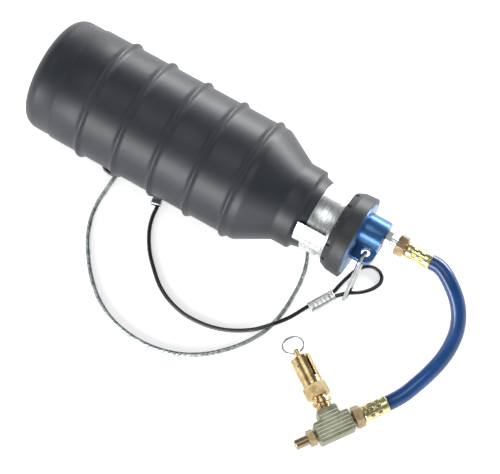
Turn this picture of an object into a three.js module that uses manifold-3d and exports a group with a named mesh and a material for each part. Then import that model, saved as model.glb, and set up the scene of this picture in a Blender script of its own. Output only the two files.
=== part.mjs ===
// Inflatable pipe plug: a ribbed rubber bladder with a clamped neck, a blue end fitting, an air hose with a
// filling tee, and a tether of coated cable and wire rope. Millimetres. The plug's axis is +X, from the middle
// of its closed end towards the hose. +Z is up. Cord points give their height above the ground as third value.
import * as THREE from "three";
import { mergeVertices } from "three/addons/utils/BufferGeometryUtils.js";
import Module from "manifold-3d";

const wasm = await Module();
wasm.setup();

// Clearances
const GAP = 0.3;
const CUT = 1;

// Bladder, from its closed end to its neck
const END_FLAT_RADIUS = 12;
const CAP_CROWN = 3;
const CAP_CORNER_RADIUS = 11;
const CAP_RADIUS = 45.2;
const CAP_LENGTH = 28.2;
const BODY_RADIUS = 46;
const FIRST_RIB_FROM_CAP = 26;
const RIB_COUNT = 5;
const RIB_SPACING = 31.3;
const RIB_HEIGHT = 2.4;
const RIB_HALF_WIDTH = 2.2;
const LAST_RIB_TO_CONE = 8.7;
const CONE_LENGTH = 25.7;
const COLLAR_RADIUS = 32;
const COLLAR_LENGTH = 13;
const COLLAR_STEP_LENGTH = 1.5;
const LIP_RADIUS = 28.8;
const LIP_END_RADIUS = 27.2;
const LIP_LENGTH = 6.3;
const NECK_RADIUS = 26;
const NECK_BORE_RADIUS = 21;
const NECK_PAST_BAND = 2.3;
const BODY_WALL = 6;
const END_WALL = 9;

// Neck clamp
const BAND_LENGTH = 19.7;
const BAND_THICKNESS = 0.7;
const BUCKLE_WIDTH = 15.3;
const BUCKLE_THICKNESS = 1.5;
const BUCKLE_RISE = 1.3;
const BUCKLE_OVER_LIP = 5;
const BUCKLE_TURN = 53;
const BUCKLE_RIDGE_COUNT = 3;
const BUCKLE_RIDGE_WIDTH = 1.2;
const BUCKLE_RIDGE_HEIGHT = 0.5;

// Rubber bumper ring
const BUMPER_LENGTH = 16.3;
const BUMPER_REAR_RADIUS = 29.4;
const BUMPER_SHOULDER_RADIUS = 31.7;
const BUMPER_SHOULDER_LENGTH = 5.6;
const BUMPER_RADIUS = 32.6;
const BUMPER_EDGE = 0.8;
const BUMPER_NOTCH_COUNT = 12;
const BUMPER_NOTCH_WIDTH = 3.4;
const BUMPER_NOTCH_DEPTH = 1.1;

// End fitting
const FLANGE_RADIUS = 28.8;
const FLANGE_THICKNESS = 6.4;
const FLANGE_PROUD = 0.7;
const SPIGOT_LENGTH = 28;
const SPIGOT_GROOVE_DEPTH = 1;
const SPIGOT_GROOVE_COUNT = 3;
const BOSS_RADIUS = 11;
const BOSS_LENGTH = 16.2;
const INLET_Y = 11.3;
const LUG_THICKNESS = 5;
const LUG_DROP = 8;
const LUG_REACH = 13;
const LUG_CORNER_RADIUS = 7;
const LUG_HOLE_RADIUS = 3.5;
const LUG_HOLE_Y = -4.8;
const LUG_HOLE_FROM_FACE = 7.6;
const AIR_BORE_RADIUS = 3;

// Hose and its ends
const HOSE_DIAMETER = 11.8;
const PORT_RADIUS = 5.2;
const PORT_DEPTH = 10;
const SHANK_RADIUS = PORT_RADIUS - GAP;
const TAIL_BORE_RADIUS = 2;
const NIPPLE_HEX = 12;
const NIPPLE_HEX_LENGTH = 4.3;
const NIPPLE_TUBE_RADIUS = 3.3;
const NIPPLE_TUBE_LENGTH = 5;
const NIPPLE_HEAD_LENGTH = 3.3;
const NUT_HEX = 15;
const NUT_LENGTH = 7;
const NUT_WALL = 1.5;
const TAIL_RADIUS = 3.2;
const TAIL_IN_FERRULE = 17;
const TAIL_FLANGE_LENGTH = 1.6;
const FERRULE_LENGTH = 20.4;
const FERRULE_RADIUS = 6.6;
const FERRULE_WAIST_RADIUS = 6.3;
const CRIMPS_AROUND = 8;
const CRIMP_LENGTH = 3.4;
const CRIMP_WIDTH = 2.6;
const CRIMP_DEPTH = 0.7;
const CRIMP_SPACING = 6;

// Filling tee, turned on the ground; its own +X runs towards the hose and its own +Y along the branch
const TEE_X = 322.8;
const TEE_Y = -123.3;
const TEE_TURN = 55.6;
const TEE_LENGTH = 28.4;
const TEE_WIDTH = 16;
const TEE_HEIGHT = 15.4;
const TEE_BRANCH = 15.3;
const TEE_CORNER_RADIUS = 1.8;
const TEE_RIDGE_COUNT = 5;
const TEE_RIDGE_SPACING = 2.7;
const TEE_RIDGE_WIDTH = 0.7;
const TEE_RIDGE_HEIGHT = 0.3;
const TEE_BORE_RADIUS = 2.5;
const TAIL_HEX_LENGTH = 6.2;
const TAIL_NECK_LENGTH = 2;

// Filling valve
const FILL_HEX = 11;
const FILL_HEX_LENGTH = 5;
const FILL_NECK_LENGTH = 2;
const FILL_STEM_RADIUS = 3.75;
const FILL_STEM_LENGTH = 10.4;
const FILL_BORE_RADIUS = 2.5;
const FILL_CORE_LENGTH = 11;
const FILL_PIN_RADIUS = 0.6;

// Relief valve, along the tee's branch
const RELIEF_NECK_RADIUS = 5.6;
const RELIEF_NECK_LENGTH = 4;
const RELIEF_RING_RADIUS = 7.4;
const RELIEF_RING_LENGTH = 3.5;
const RELIEF_GROOVE_LENGTH = 2.4;
const RELIEF_HEX = 16;
const RELIEF_HEX_LENGTH = 10;
const RELIEF_SEAT_RADIUS = 4.9;
const RELIEF_SEAT_LENGTH = 4;
const BONNET_RADIUS = 7.7;
const BONNET_BORE_RADIUS = 5.5;
const BONNET_LENGTH = 23;
const BONNET_SLOT_COUNT = 3;
const BONNET_SLOT_WIDTH = 2.2;
const BONNET_SLOT_TURN = 31;
const BONNET_SKIRT = 5;
const VENT_RADIUS = 0.8;
const VENT_TURN = 38;
const VENT_FROM_TOP = 7;
const SEAL_RADIUS = 4.2;
const SEAL_THICKNESS = 1.5;
const DISC_RADIUS = 4.6;
const DISC_THICKNESS = 2;
const STEM_RADIUS = 1.6;
const ADJUSTER_THICKNESS = 3;
const ADJUSTER_FROM_TOP = 1.2;
const SPRING_WIRE_RADIUS = 0.45;
const SPRING_RADIUS = 3.4;
const SPRING_TURNS = 5;
const KNOB_RADIUS = 2.4;
const KNOB_LENGTH = 6.4;
const KNOB_WALL = 0.5;
const KNOB_FROM_BONNET = 0.5;
const RING_HOLE_RADIUS = 1.25;
const RING_HOLE_FROM_TOP = 2.7;
const PULL_RING_RADIUS = 8.1;
const PULL_RING_WIRE_RADIUS = 0.75;

// Tether
const CABLE_DIAMETER = 3.2;
const ROPE_DIAMETER = 3.6;
const SLEEVE_LENGTH = 21;
const SLEEVE_WALL = 0.8;
const STRAND_SPACING = 3.6;
const ROPE_FERRULE_LENGTH = 16;
const ROPE_FERRULE_RADIUS = 4;
const LINK_WIRE_RADIUS = 1.5;
const LINK_BEND_RADIUS = 6;
const LINK_STRAIGHT = 38.5;
const LINK_LEAN = 27.4;

// Heights: the neck-side rope ring lies under the bladder between two ribs and carries it
const AXIS_HEIGHT = BODY_RADIUS + ROPE_DIAMETER + GAP;
const GROUND = -AXIS_HEIGHT;

// Stations along the axis
const FIRST_RIB_X = CAP_LENGTH + FIRST_RIB_FROM_CAP;
const LAST_RIB_X = FIRST_RIB_X + (RIB_COUNT - 1) * RIB_SPACING;
const CONE_X = LAST_RIB_X + LAST_RIB_TO_CONE;
const COLLAR_X = CONE_X + CONE_LENGTH;
const STEP_X = COLLAR_X + COLLAR_LENGTH;
const LIP_X = STEP_X + COLLAR_STEP_LENGTH;
const BAND_X = LIP_X + LIP_LENGTH;
const BUMPER_X = BAND_X + BAND_LENGTH;
const NECK_END_X = BUMPER_X + NECK_PAST_BAND;
const BUMPER_END_X = BUMPER_X + BUMPER_LENGTH;
const FLANGE_FACE_X = BUMPER_END_X + FLANGE_PROUD;
const FLANGE_BACK_X = FLANGE_FACE_X - FLANGE_THICKNESS;
const BOSS_FACE_X = FLANGE_FACE_X + BOSS_LENGTH;

const ROUND = 40;
const SMALL_ROUND = 20;

const HOSE_POINTS = [
  [331, 11.3, 49.9],
  [337, 9.6, 49.4],
  [346, 4.4, 47.2],
  [355, -2.4, 43],
  [361.6, -10.3, 37.9],
  [365.9, -20, 31.8],
  [367.2, -31.2, 25.4],
  [366, -42.6, 19.5],
  [362.7, -54.6, 14.4],
  [358.4, -66.4, 10.6],
  [354.6, -75.6, 8.8],
];

const CABLE_EYE_POINTS = [
  [275.9, -30.9, 5],
  [279.3, -27.7, 5.6],
  [283.6, -24.6, 5],
  [287.8, -21.2, 4],
  [292, -16.6, 3],
  [294.9, -11.9, 2.3],
  [296.5, -6.7, 1.9],
  [295.4, -2.5, 1.8],
  [292.2, 0.6, 1.8],
  [287.4, 1.6, 1.8],
  [282.4, 0.4, 1.8],
  [278.2, -3.1, 1.8],
  [275.2, -8.4, 1.8],
  [272.9, -15.6, 2],
  [271, -24, 2.8],
];

const CABLE_RUN_POINTS = [
  [251.4, -66, 4.2],
  [244, -76.6, 5.7],
  [235.6, -85.6, 4.6],
  [228.5, -90.8, 2.9],
  [218.4, -96.6, 1.9],
  [207, -101, 1.6],
  [194.5, -103.4, 1.6],
  [180.5, -103.6, 1.6],
  [166.5, -100.3, 1.6],
  [154.2, -94.2, 1.6],
  [142.8, -84.8, 1.6],
  [133.4, -75.3, 1.6],
  [126.4, -65.4, 1.6],
  [122, -56.6, 1.6],
  [119.8, -48.6, 2.1],
];

const CABLE_HIDDEN_EYE_POINTS = [
  [112.4, -15.4, 2.5],
  [108.6, -11.2, 2],
  [102.5, -9.8, 1.8],
  [96, -12.8, 2.4],
  [90.5, -18.4, 3.5],
  [86, -22.6, 4.9],
  [82, -25.4, 7],
  [78, -26.8, 8.5],
  [74, -26.9, 8.3],
  [69.6, -27.2, 7.5],
  [66, -29.2, 6.1],
  [65.2, -32.2, 4.3],
  [67.8, -34.9, 2.7],
  [72.5, -35.7, 1.9],
  [77, -34.8, 1.6],
  [81.2, -32, 1.6],
  [85, -28.5, 1.6],
  [89, -24.6, 1.6],
  [93, -20.6, 1.6],
  [97, -16.9, 1.6],
  [101.6, -14.4, 1.6],
  [106, -14.2, 1.8],
  [108.9, -16.6, 2.4],
];

const ROPE_POINTS = [
  [234, -9.6, 3.3],
  [238.2, -16.1, 2.4],
  [242.3, -27.3, 1.8],
  [244.4, -39.3, 1.8],
  [245, -52.2, 1.8],
  [244.5, -65.7, 1.8],
  [242.3, -78.7, 1.8],
  [237.6, -90.6, 1.8],
  [230, -103, 1.8],
  [221.3, -113.1, 1.8],
  [212.4, -121.4, 1.8],
  [202.5, -128.1, 1.8],
  [191.7, -133.3, 1.8],
  [179.8, -136.8, 1.8],
  [166.9, -138.6, 1.8],
  [151, -138, 1.8],
  [135.4, -134.4, 1.8],
  [119.6, -126.4, 1.8],
  [105.4, -114.4, 1.8],
  [93.6, -100.4, 1.8],
  [85.2, -87.1, 1.8],
  [79.9, -74, 1.8],
  [77.6, -61, 2],
  [77.8, -50.6, 3],
  [78.4, -42, 4.7],
  [79, -34.4, 5.4],
  [79.2, -27.4, 4.7],
  [80.8, -21.6, 2.9],
  [84.4, -17.5, 1.8],
  [88.6, -12.8, 1.8],
  [93.6, -5.8, 1.8],
  [100, 3, 1.8],
  [108.5, 11.6, 1.8],
  [118.8, 19.5, 1.8],
  [131.5, 26, 1.8],
  [146.5, 30.5, 1.8],
  [161.5, 31.5, 1.8],
  [176.5, 30, 1.8],
  [191.5, 26, 1.8],
  [205, 19.6, 2],
  [214, 13.2, 3.2],
];

const SLEEVE_FRONT = { start: [260.4, -51.6, 2.7], end: [270.9, -33.6, 4.2] };
const SLEEVE_HIDDEN = { start: [117, -40.5, 2.7], end: [111.8, -20.2, 2.7] };
const ROPE_FERRULE_CENTRE = [225.2, 1.5, 4];
const ROPE_FERRULE_TURN = -51;

const COLOURS = {
  bladder: { color: 0x3d4148, roughness: 0.55, metalness: 0 },
  black_rubber: { color: 0x1d1e20, roughness: 0.6, metalness: 0 },
  steel: { color: 0xc4c8c8, roughness: 0.3, metalness: 1 },
  blue_metal: { color: 0x1f4f96, roughness: 0.3, metalness: 0.7 },
  hose: { color: 0x1c4a94, roughness: 0.25, metalness: 0 },
  brass: { color: 0xc9a86a, roughness: 0.3, metalness: 1 },
  pale_brass: { color: 0xe0d6a0, roughness: 0.3, metalness: 1 },
  cast: { color: 0xa5a892, roughness: 0.5, metalness: 0.8 },
  cable: { color: 0x101112, roughness: 0.35, metalness: 0 },
};

function degrees(value) {
  return (value * Math.PI) / 180;
}

// Merges shared corners, drops triangles without area and turns all faces outwards.
function closedGeometry(geometry) {
  const bare = geometry.clone();
  bare.deleteAttribute("normal");
  bare.deleteAttribute("uv");
  const merged = mergeVertices(bare, 1e-4);
  const index = merged.index.array;
  const position = merged.attributes.position;
  const a = new THREE.Vector3();
  const b = new THREE.Vector3();
  const c = new THREE.Vector3();
  const kept = [];
  let volume = 0;
  for (let i = 0; i < index.length; i += 3) {
    const [p, q, r] = [index[i], index[i + 1], index[i + 2]];
    if (p === q || q === r || r === p) continue;
    kept.push(p, q, r);
    a.fromBufferAttribute(position, p);
    b.fromBufferAttribute(position, q);
    c.fromBufferAttribute(position, r);
    volume += a.dot(b.cross(c));
  }
  if (volume < 0) kept.reverse();
  merged.setIndex(kept);
  return merged;
}

function solidOf(geometry) {
  const closed = closedGeometry(geometry);
  const vertProperties = new Float32Array(closed.attributes.position.array);
  const triVerts = new Uint32Array(closed.index.array);
  return new wasm.Manifold(new wasm.Mesh({ numProp: 3, vertProperties, triVerts }));
}

function geometryOf(solid) {
  const mesh = solid.getMesh();
  const geometry = new THREE.BufferGeometry();
  geometry.setAttribute("position", new THREE.BufferAttribute(new Float32Array(mesh.vertProperties), 3));
  geometry.setIndex(Array.from(mesh.triVerts));
  return geometry;
}

function joined(geometries) {
  return geometryOf(geometries.map(solidOf).reduce((whole, piece) => whole.add(piece)));
}

function cut(geometry, tools) {
  return geometryOf(tools.map(solidOf).reduce((whole, tool) => whole.subtract(tool), solidOf(geometry)));
}

// A turned solid on the X axis from [x, radius] corners.
function turned(corners, segments = ROUND) {
  const points = corners.map(([x, radius]) => new THREE.Vector2(radius, x));
  const geometry = new THREE.LatheGeometry(points, segments);
  geometry.rotateZ(-Math.PI / 2);
  return closedGeometry(geometry);
}

function rod(startX, endX, radius, y = 0, z = 0, segments = SMALL_ROUND) {
  const geometry = new THREE.CylinderGeometry(radius, radius, endX - startX, segments);
  geometry.rotateZ(-Math.PI / 2);
  geometry.translate((startX + endX) / 2, y, z);
  return geometry;
}

// A hexagonal bar on the X axis with flats facing up and down.
function hexBar(startX, endX, acrossFlats) {
  const radius = acrossFlats / Math.sqrt(3);
  const geometry = new THREE.CylinderGeometry(radius, radius, endX - startX, 6, 1, false, Math.PI / 6);
  geometry.rotateZ(-Math.PI / 2);
  geometry.translate((startX + endX) / 2, 0, 0);
  return geometry;
}

// A hexagonal bar with its corners rounded off at both ends.
function hexBody(startX, endX, acrossFlats) {
  const corner = acrossFlats / Math.sqrt(3);
  const bevel = (corner - acrossFlats / 2) * 0.8;
  const middle = (startX + endX) / 2;
  const reach = corner + bevel;
  const turnedEnvelope = turned(
    [
      [startX, 0],
      [startX, corner - bevel],
      [middle, reach],
      [endX, corner - bevel],
      [endX, 0],
    ],
    SMALL_ROUND,
  );
  return geometryOf(solidOf(hexBar(startX, endX, acrossFlats)).intersect(solidOf(turnedEnvelope)));
}

function boxBetween(low, high) {
  const size = high.map((value, axis) => value - low[axis]);
  const geometry = new THREE.BoxGeometry(size[0], size[1], size[2]);
  geometry.translate((low[0] + high[0]) / 2, (low[1] + high[1]) / 2, (low[2] + high[2]) / 2);
  return geometry;
}

function standing(point) {
  return new THREE.Vector3(point[0], point[1], point[2] + GROUND);
}

function cordTube(points, diameter, sides, steps) {
  const section = new THREE.Shape();
  for (let side = 0; side < sides; side += 1) {
    const angle = (side / sides) * 2 * Math.PI;
    const [x, y] = [(Math.cos(angle) * diameter) / 2, (Math.sin(angle) * diameter) / 2];
    if (side === 0) section.moveTo(x, y);
    else section.lineTo(x, y);
  }
  section.closePath();
  const route = new THREE.CatmullRomCurve3(points, false, "centripetal");
  route.arcLengthDivisions = 1200;
  return new THREE.ExtrudeGeometry(section, { steps, bevelEnabled: false, extrudePath: route, curveSegments: 1 });
}

function mesh(name, geometry, colour) {
  const piece = new THREE.Mesh(closedGeometry(geometry), new THREE.MeshStandardMaterial(COLOURS[colour]));
  piece.name = name;
  return piece;
}

// Puts a mesh's own +Z along a direction, with its own +X as near as possible to another.
function aim(piece, position, forward, side) {
  const z = forward.clone().normalize();
  const y = new THREE.Vector3().crossVectors(z, side).normalize();
  const x = new THREE.Vector3().crossVectors(y, z);
  piece.position.copy(position);
  piece.quaternion.setFromRotationMatrix(new THREE.Matrix4().makeBasis(x, y, z));
  return piece;
}

function ribCorners(ribX) {
  const offsets = [-2.3, -1.3, -0.65, 0, 0.65, 1.3, 2.3];
  return offsets.map((share) => {
    const rise = Math.abs(share) > 2 ? 0 : RIB_HEIGHT * Math.exp(-share * share);
    return [ribX + share * RIB_HALF_WIDTH, BODY_RADIUS + rise];
  });
}

function capCorners() {
  const cornerCentre = CAP_RADIUS - CAP_CORNER_RADIUS;
  const corners = [
    [0, 0],
    [0, END_FLAT_RADIUS],
    [CAP_CROWN * 0.4, (END_FLAT_RADIUS + cornerCentre) / 2 + 3],
  ];
  for (let turn = 0; turn <= 90; turn += 22.5) {
    const angle = degrees(turn);
    const x = CAP_CROWN + CAP_CORNER_RADIUS * (1 - Math.cos(angle));
    corners.push([x, cornerCentre + CAP_CORNER_RADIUS * Math.sin(angle)]);
  }
  corners.push([CAP_LENGTH - 0.3, CAP_RADIUS], [CAP_LENGTH, BODY_RADIUS]);
  return corners;
}

function bladder() {
  const innerRadius = BODY_RADIUS - BODY_WALL;
  const corners = capCorners();
  for (let rib = 0; rib < RIB_COUNT; rib += 1) corners.push(...ribCorners(FIRST_RIB_X + rib * RIB_SPACING));
  corners.push(
    [CONE_X, BODY_RADIUS],
    [COLLAR_X, COLLAR_RADIUS],
    [STEP_X, COLLAR_RADIUS],
    [LIP_X, LIP_RADIUS],
    [BAND_X, LIP_END_RADIUS],
    [BAND_X, NECK_RADIUS],
    [NECK_END_X, NECK_RADIUS],
    [NECK_END_X, NECK_BORE_RADIUS],
    [COLLAR_X, NECK_BORE_RADIUS],
    [CONE_X, innerRadius],
    [END_WALL + CAP_CORNER_RADIUS, innerRadius],
    [END_WALL, innerRadius - CAP_CORNER_RADIUS],
    [END_WALL, 0],
  );
  return mesh("bladder", turned(corners), "bladder");
}

function clampBand() {
  const inner = NECK_RADIUS + GAP;
  const outer = inner + BAND_THICKNESS;
  const start = BAND_X + GAP;
  const end = BUMPER_X - GAP;
  const corners = [
    [start, inner],
    [start, outer],
    [end, outer],
    [end, inner],
    [start, inner],
  ];
  return mesh("clamp_band", turned(corners), "steel");
}

// A slice of a tube around the X axis, centred on the top.
function shellSlice(startX, endX, innerRadius, outerRadius, width) {
  const half = width / 2 / outerRadius;
  const section = new THREE.Shape();
  section.absarc(0, 0, outerRadius, Math.PI / 2 - half, Math.PI / 2 + half, false);
  section.absarc(0, 0, innerRadius, Math.PI / 2 + half, Math.PI / 2 - half, true);
  section.closePath();
  const options = { depth: endX - startX, bevelEnabled: false, curveSegments: 5 };
  const geometry = new THREE.ExtrudeGeometry(section, options);
  geometry.rotateY(Math.PI / 2);
  geometry.rotateX(Math.PI / 2);
  geometry.translate(startX, 0, 0);
  return geometry;
}

function clampBuckle() {
  const foot = NECK_RADIUS + GAP + BAND_THICKNESS + GAP;
  const plateInner = Math.max(foot, LIP_RADIUS + GAP);
  const plateOuter = plateInner + BUCKLE_THICKNESS;
  const start = BAND_X - BUCKLE_OVER_LIP;
  const seat = BAND_X + GAP;
  const end = BUMPER_X - GAP - BUCKLE_RISE;
  const pieces = [
    shellSlice(start, end, plateInner, plateOuter, BUCKLE_WIDTH),
    shellSlice(seat, end, foot, plateOuter - BUCKLE_THICKNESS / 2, BUCKLE_WIDTH - 2),
  ];
  const pitch = BUCKLE_WIDTH / (BUCKLE_RIDGE_COUNT + 1);
  for (let ridge = 0; ridge < BUCKLE_RIDGE_COUNT; ridge += 1) {
    const offset = (ridge - (BUCKLE_RIDGE_COUNT - 1) / 2) * pitch;
    const strip = shellSlice(
      start + CUT,
      end - CUT,
      plateInner + BUCKLE_THICKNESS / 2,
      plateOuter + BUCKLE_RIDGE_HEIGHT,
      BUCKLE_RIDGE_WIDTH,
    );
    strip.rotateX(offset / plateOuter);
    pieces.push(strip);
  }
  const geometry = joined(pieces);
  geometry.rotateX(degrees(BUCKLE_TURN));
  return mesh("clamp_buckle", geometry, "steel");
}

function bumperRing() {
  const bore = NECK_RADIUS + GAP;
  const recess = FLANGE_RADIUS + GAP;
  const recessX = FLANGE_BACK_X - GAP;
  const ring = turned([
    [BUMPER_X, bore],
    [BUMPER_X, BUMPER_REAR_RADIUS],
    [BUMPER_X + BUMPER_SHOULDER_LENGTH, BUMPER_SHOULDER_RADIUS],
    [BUMPER_END_X - BUMPER_EDGE, BUMPER_RADIUS],
    [BUMPER_END_X, BUMPER_RADIUS - BUMPER_EDGE],
    [BUMPER_END_X, recess],
    [recessX, recess],
    [recessX, bore],
    [BUMPER_X, bore],
  ]);
  const notches = [];
  for (let notch = 0; notch < BUMPER_NOTCH_COUNT; notch += 1) {
    const floor = BUMPER_REAR_RADIUS - BUMPER_NOTCH_DEPTH;
    const half = BUMPER_NOTCH_WIDTH / 2;
    const low = [BUMPER_X - CUT, -half, floor];
    const high = [BUMPER_X + BUMPER_SHOULDER_LENGTH * 0.7, half, BUMPER_RADIUS + CUT];
    const tool = boxBetween(low, high);
    tool.rotateX(((notch + 0.5) / BUMPER_NOTCH_COUNT) * 2 * Math.PI);
    notches.push(tool);
  }
  return mesh("bumper_ring", cut(ring, notches), "black_rubber");
}

function spigotCorners() {
  const radius = NECK_BORE_RADIUS - GAP;
  const shoulderX = NECK_END_X + GAP;
  const start = shoulderX - SPIGOT_LENGTH;
  const pitch = BAND_LENGTH / (SPIGOT_GROOVE_COUNT + 1);
  const corners = [
    [start, 0],
    [start, radius - SPIGOT_GROOVE_DEPTH],
    [start + SPIGOT_GROOVE_DEPTH, radius],
  ];
  for (let groove = 1; groove <= SPIGOT_GROOVE_COUNT; groove += 1) {
    const x = BAND_X + groove * pitch;
    corners.push([x - 1, radius], [x, radius - SPIGOT_GROOVE_DEPTH], [x + 1, radius]);
  }
  corners.push(
    [shoulderX, radius],
    [shoulderX, NECK_RADIUS],
    [FLANGE_BACK_X, NECK_RADIUS],
    [FLANGE_BACK_X, FLANGE_RADIUS],
    [FLANGE_FACE_X - BUMPER_EDGE, FLANGE_RADIUS],
    [FLANGE_FACE_X, FLANGE_RADIUS - BUMPER_EDGE],
    [FLANGE_FACE_X, 0],
  );
  return corners;
}

// The flat tab that carries the tow link, seen from above: square to the flange with one round front corner.
function lug() {
  const root = FLANGE_FACE_X - CUT;
  const outline = new THREE.Shape();
  outline.moveTo(root, INLET_Y);
  outline.lineTo(root, -LUG_REACH);
  outline.lineTo(BOSS_FACE_X - LUG_CORNER_RADIUS, -LUG_REACH);
  outline.absarc(
    BOSS_FACE_X - LUG_CORNER_RADIUS,
    -LUG_REACH + LUG_CORNER_RADIUS,
    LUG_CORNER_RADIUS,
    -Math.PI / 2,
    0,
    false,
  );
  outline.lineTo(BOSS_FACE_X, INLET_Y);
  outline.closePath();
  const options = { depth: LUG_THICKNESS, bevelEnabled: false, curveSegments: 6 };
  const geometry = new THREE.ExtrudeGeometry(outline, options);
  geometry.translate(0, 0, -LUG_DROP - LUG_THICKNESS / 2);
  return geometry;
}

function endFitting() {
  const body = turned(spigotCorners());
  const boss = rod(FLANGE_FACE_X - CUT, BOSS_FACE_X, BOSS_RADIUS, INLET_Y, 0, 32);
  const lugHole = new THREE.CylinderGeometry(LUG_HOLE_RADIUS, LUG_HOLE_RADIUS, LUG_THICKNESS + 2 * CUT, SMALL_ROUND);
  lugHole.rotateX(Math.PI / 2);
  lugHole.translate(FLANGE_FACE_X + LUG_HOLE_FROM_FACE + CUT, LUG_HOLE_Y, -LUG_DROP);
  const spigotStart = NECK_END_X + GAP - SPIGOT_LENGTH;
  const airBore = rod(spigotStart - CUT, BOSS_FACE_X, AIR_BORE_RADIUS, INLET_Y);
  const port = rod(BOSS_FACE_X - PORT_DEPTH, BOSS_FACE_X + CUT, PORT_RADIUS, INLET_Y);
  return mesh("end_fitting", cut(joined([body, boss, lug()]), [lugHole, airBore, port]), "blue_metal");
}

// The inlet pieces are turned about their own X axis, from the boss face to the mouth of the hose.
const NIPPLE_HEX_X = GAP;
const NIPPLE_TUBE_X = NIPPLE_HEX_X + NIPPLE_HEX_LENGTH;
const NUT_X = NIPPLE_TUBE_X + NIPPLE_TUBE_LENGTH + GAP;
const NIPPLE_HEAD_X = NUT_X - GAP;
const TAIL_X = NIPPLE_HEAD_X + NIPPLE_HEAD_LENGTH + GAP;
const UPPER_FERRULE_X = NUT_X + NUT_LENGTH + 2 * GAP;
const HOSE_START_X = UPPER_FERRULE_X + FERRULE_LENGTH + GAP;

function inletNipple() {
  const shank = rod(NIPPLE_HEX_X + GAP - PORT_DEPTH, NIPPLE_HEX_X + CUT, SHANK_RADIUS);
  const hex = hexBody(NIPPLE_HEX_X, NIPPLE_TUBE_X, NIPPLE_HEX);
  const tube = rod(NIPPLE_TUBE_X - CUT, NIPPLE_HEAD_X + CUT, NIPPLE_TUBE_RADIUS);
  const head = rod(NIPPLE_HEAD_X, NIPPLE_HEAD_X + NIPPLE_HEAD_LENGTH, SHANK_RADIUS);
  const bore = rod(-PORT_DEPTH - CUT, NIPPLE_HEAD_X + NIPPLE_HEAD_LENGTH + CUT, TAIL_BORE_RADIUS);
  return mesh("inlet_nipple", cut(joined([shank, hex, tube, head]), [bore]), "steel");
}

function upperNut() {
  const body = hexBody(NUT_X, NUT_X + NUT_LENGTH, NUT_HEX);
  const thread = rod(NUT_X - CUT, NUT_X + NUT_LENGTH - NUT_WALL, PORT_RADIUS);
  const throat = rod(NUT_X, NUT_X + NUT_LENGTH + CUT, TAIL_RADIUS + GAP);
  return mesh("upper_nut", cut(body, [thread, throat]), "brass");
}

function upperTail() {
  const end = UPPER_FERRULE_X + TAIL_IN_FERRULE;
  const flange = TAIL_X + TAIL_FLANGE_LENGTH;
  const corners = [
    [TAIL_X, TAIL_BORE_RADIUS],
    [TAIL_X, SHANK_RADIUS],
    [flange, SHANK_RADIUS],
    [flange, TAIL_RADIUS],
    [end, TAIL_RADIUS],
    [end, TAIL_BORE_RADIUS],
    [TAIL_X, TAIL_BORE_RADIUS],
  ];
  return mesh("upper_hose_tail", turned(corners, SMALL_ROUND), "brass");
}

// A crimped sleeve on its own X axis, with two rows of pressed dimples.
function hoseFerrule(name, startX) {
  const end = startX + FERRULE_LENGTH;
  const bore = TAIL_RADIUS + GAP;
  const sleeve = turned(
    [
      [startX, bore],
      [startX, FERRULE_RADIUS - 1.2],
      [startX + 1.6, FERRULE_RADIUS],
      [startX + 4.4, FERRULE_WAIST_RADIUS],
      [end - 4.4, FERRULE_WAIST_RADIUS],
      [end - 1, FERRULE_RADIUS + GAP],
      [end, FERRULE_RADIUS],
      [end, bore],
      [startX, bore],
    ],
    32,
  );
  const dimples = [];
  const rows = [-0.5, 0.5];
  for (const row of rows) {
    const middle = (startX + end) / 2 + row * CRIMP_SPACING;
    for (let place = 0; place < CRIMPS_AROUND; place += 1) {
      const floor = FERRULE_WAIST_RADIUS - CRIMP_DEPTH;
      const low = [middle - CRIMP_LENGTH / 2, -CRIMP_WIDTH / 2, floor];
      const high = [middle + CRIMP_LENGTH / 2, CRIMP_WIDTH / 2, FERRULE_RADIUS + CUT];
      const tool = boxBetween(low, high);
      tool.rotateX((place / CRIMPS_AROUND) * 2 * Math.PI);
      dimples.push(tool);
    }
  }
  return mesh(name, cut(sleeve, dimples), "pale_brass");
}

function inletGroup() {
  const group = new THREE.Group();
  group.add(inletNipple(), upperNut(), upperTail(), hoseFerrule("upper_ferrule", UPPER_FERRULE_X));
  group.position.set(BOSS_FACE_X, INLET_Y, 0);
  return group;
}

// Stations on the tee's own X axis, towards the hose
const TAIL_HEX_X = TEE_LENGTH / 2 + TAIL_NECK_LENGTH;
const LOWER_FERRULE_X = TAIL_HEX_X + TAIL_HEX_LENGTH + GAP;
const HOSE_END_X = LOWER_FERRULE_X + FERRULE_LENGTH + GAP;
const TEE_AXIS_HEIGHT = TEE_HEIGHT / 2 + TEE_RIDGE_HEIGHT;

function teePoint(x, y, height) {
  const angle = degrees(TEE_TURN);
  const worldX = TEE_X + x * Math.cos(angle) - y * Math.sin(angle);
  const worldY = TEE_Y + x * Math.sin(angle) + y * Math.cos(angle);
  return new THREE.Vector3(worldX, worldY, height + GROUND);
}

function hose() {
  const lead = 4;
  const points = [
    new THREE.Vector3(BOSS_FACE_X + HOSE_START_X, INLET_Y, 0),
    ...HOSE_POINTS.map(standing),
    teePoint(HOSE_END_X + lead, 0, TEE_AXIS_HEIGHT),
    teePoint(HOSE_END_X, 0, TEE_AXIS_HEIGHT),
  ];
  return mesh("air_hose", cordTube(points, HOSE_DIAMETER, 12, 34), "hose");
}

function roundedOutline(corners, radius) {
  const outline = new THREE.Shape();
  const count = corners.length;
  corners.forEach((corner, index) => {
    const here = new THREE.Vector2(...corner);
    const before = new THREE.Vector2(...corners[(index + count - 1) % count]).sub(here).setLength(radius);
    const after = new THREE.Vector2(...corners[(index + 1) % count]).sub(here).setLength(radius);
    const start = here.clone().add(before);
    const end = here.clone().add(after);
    if (index === 0) outline.moveTo(start.x, start.y);
    else outline.lineTo(start.x, start.y);
    outline.quadraticCurveTo(here.x, here.y, end.x, end.y);
  });
  outline.closePath();
  return outline;
}

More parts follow.
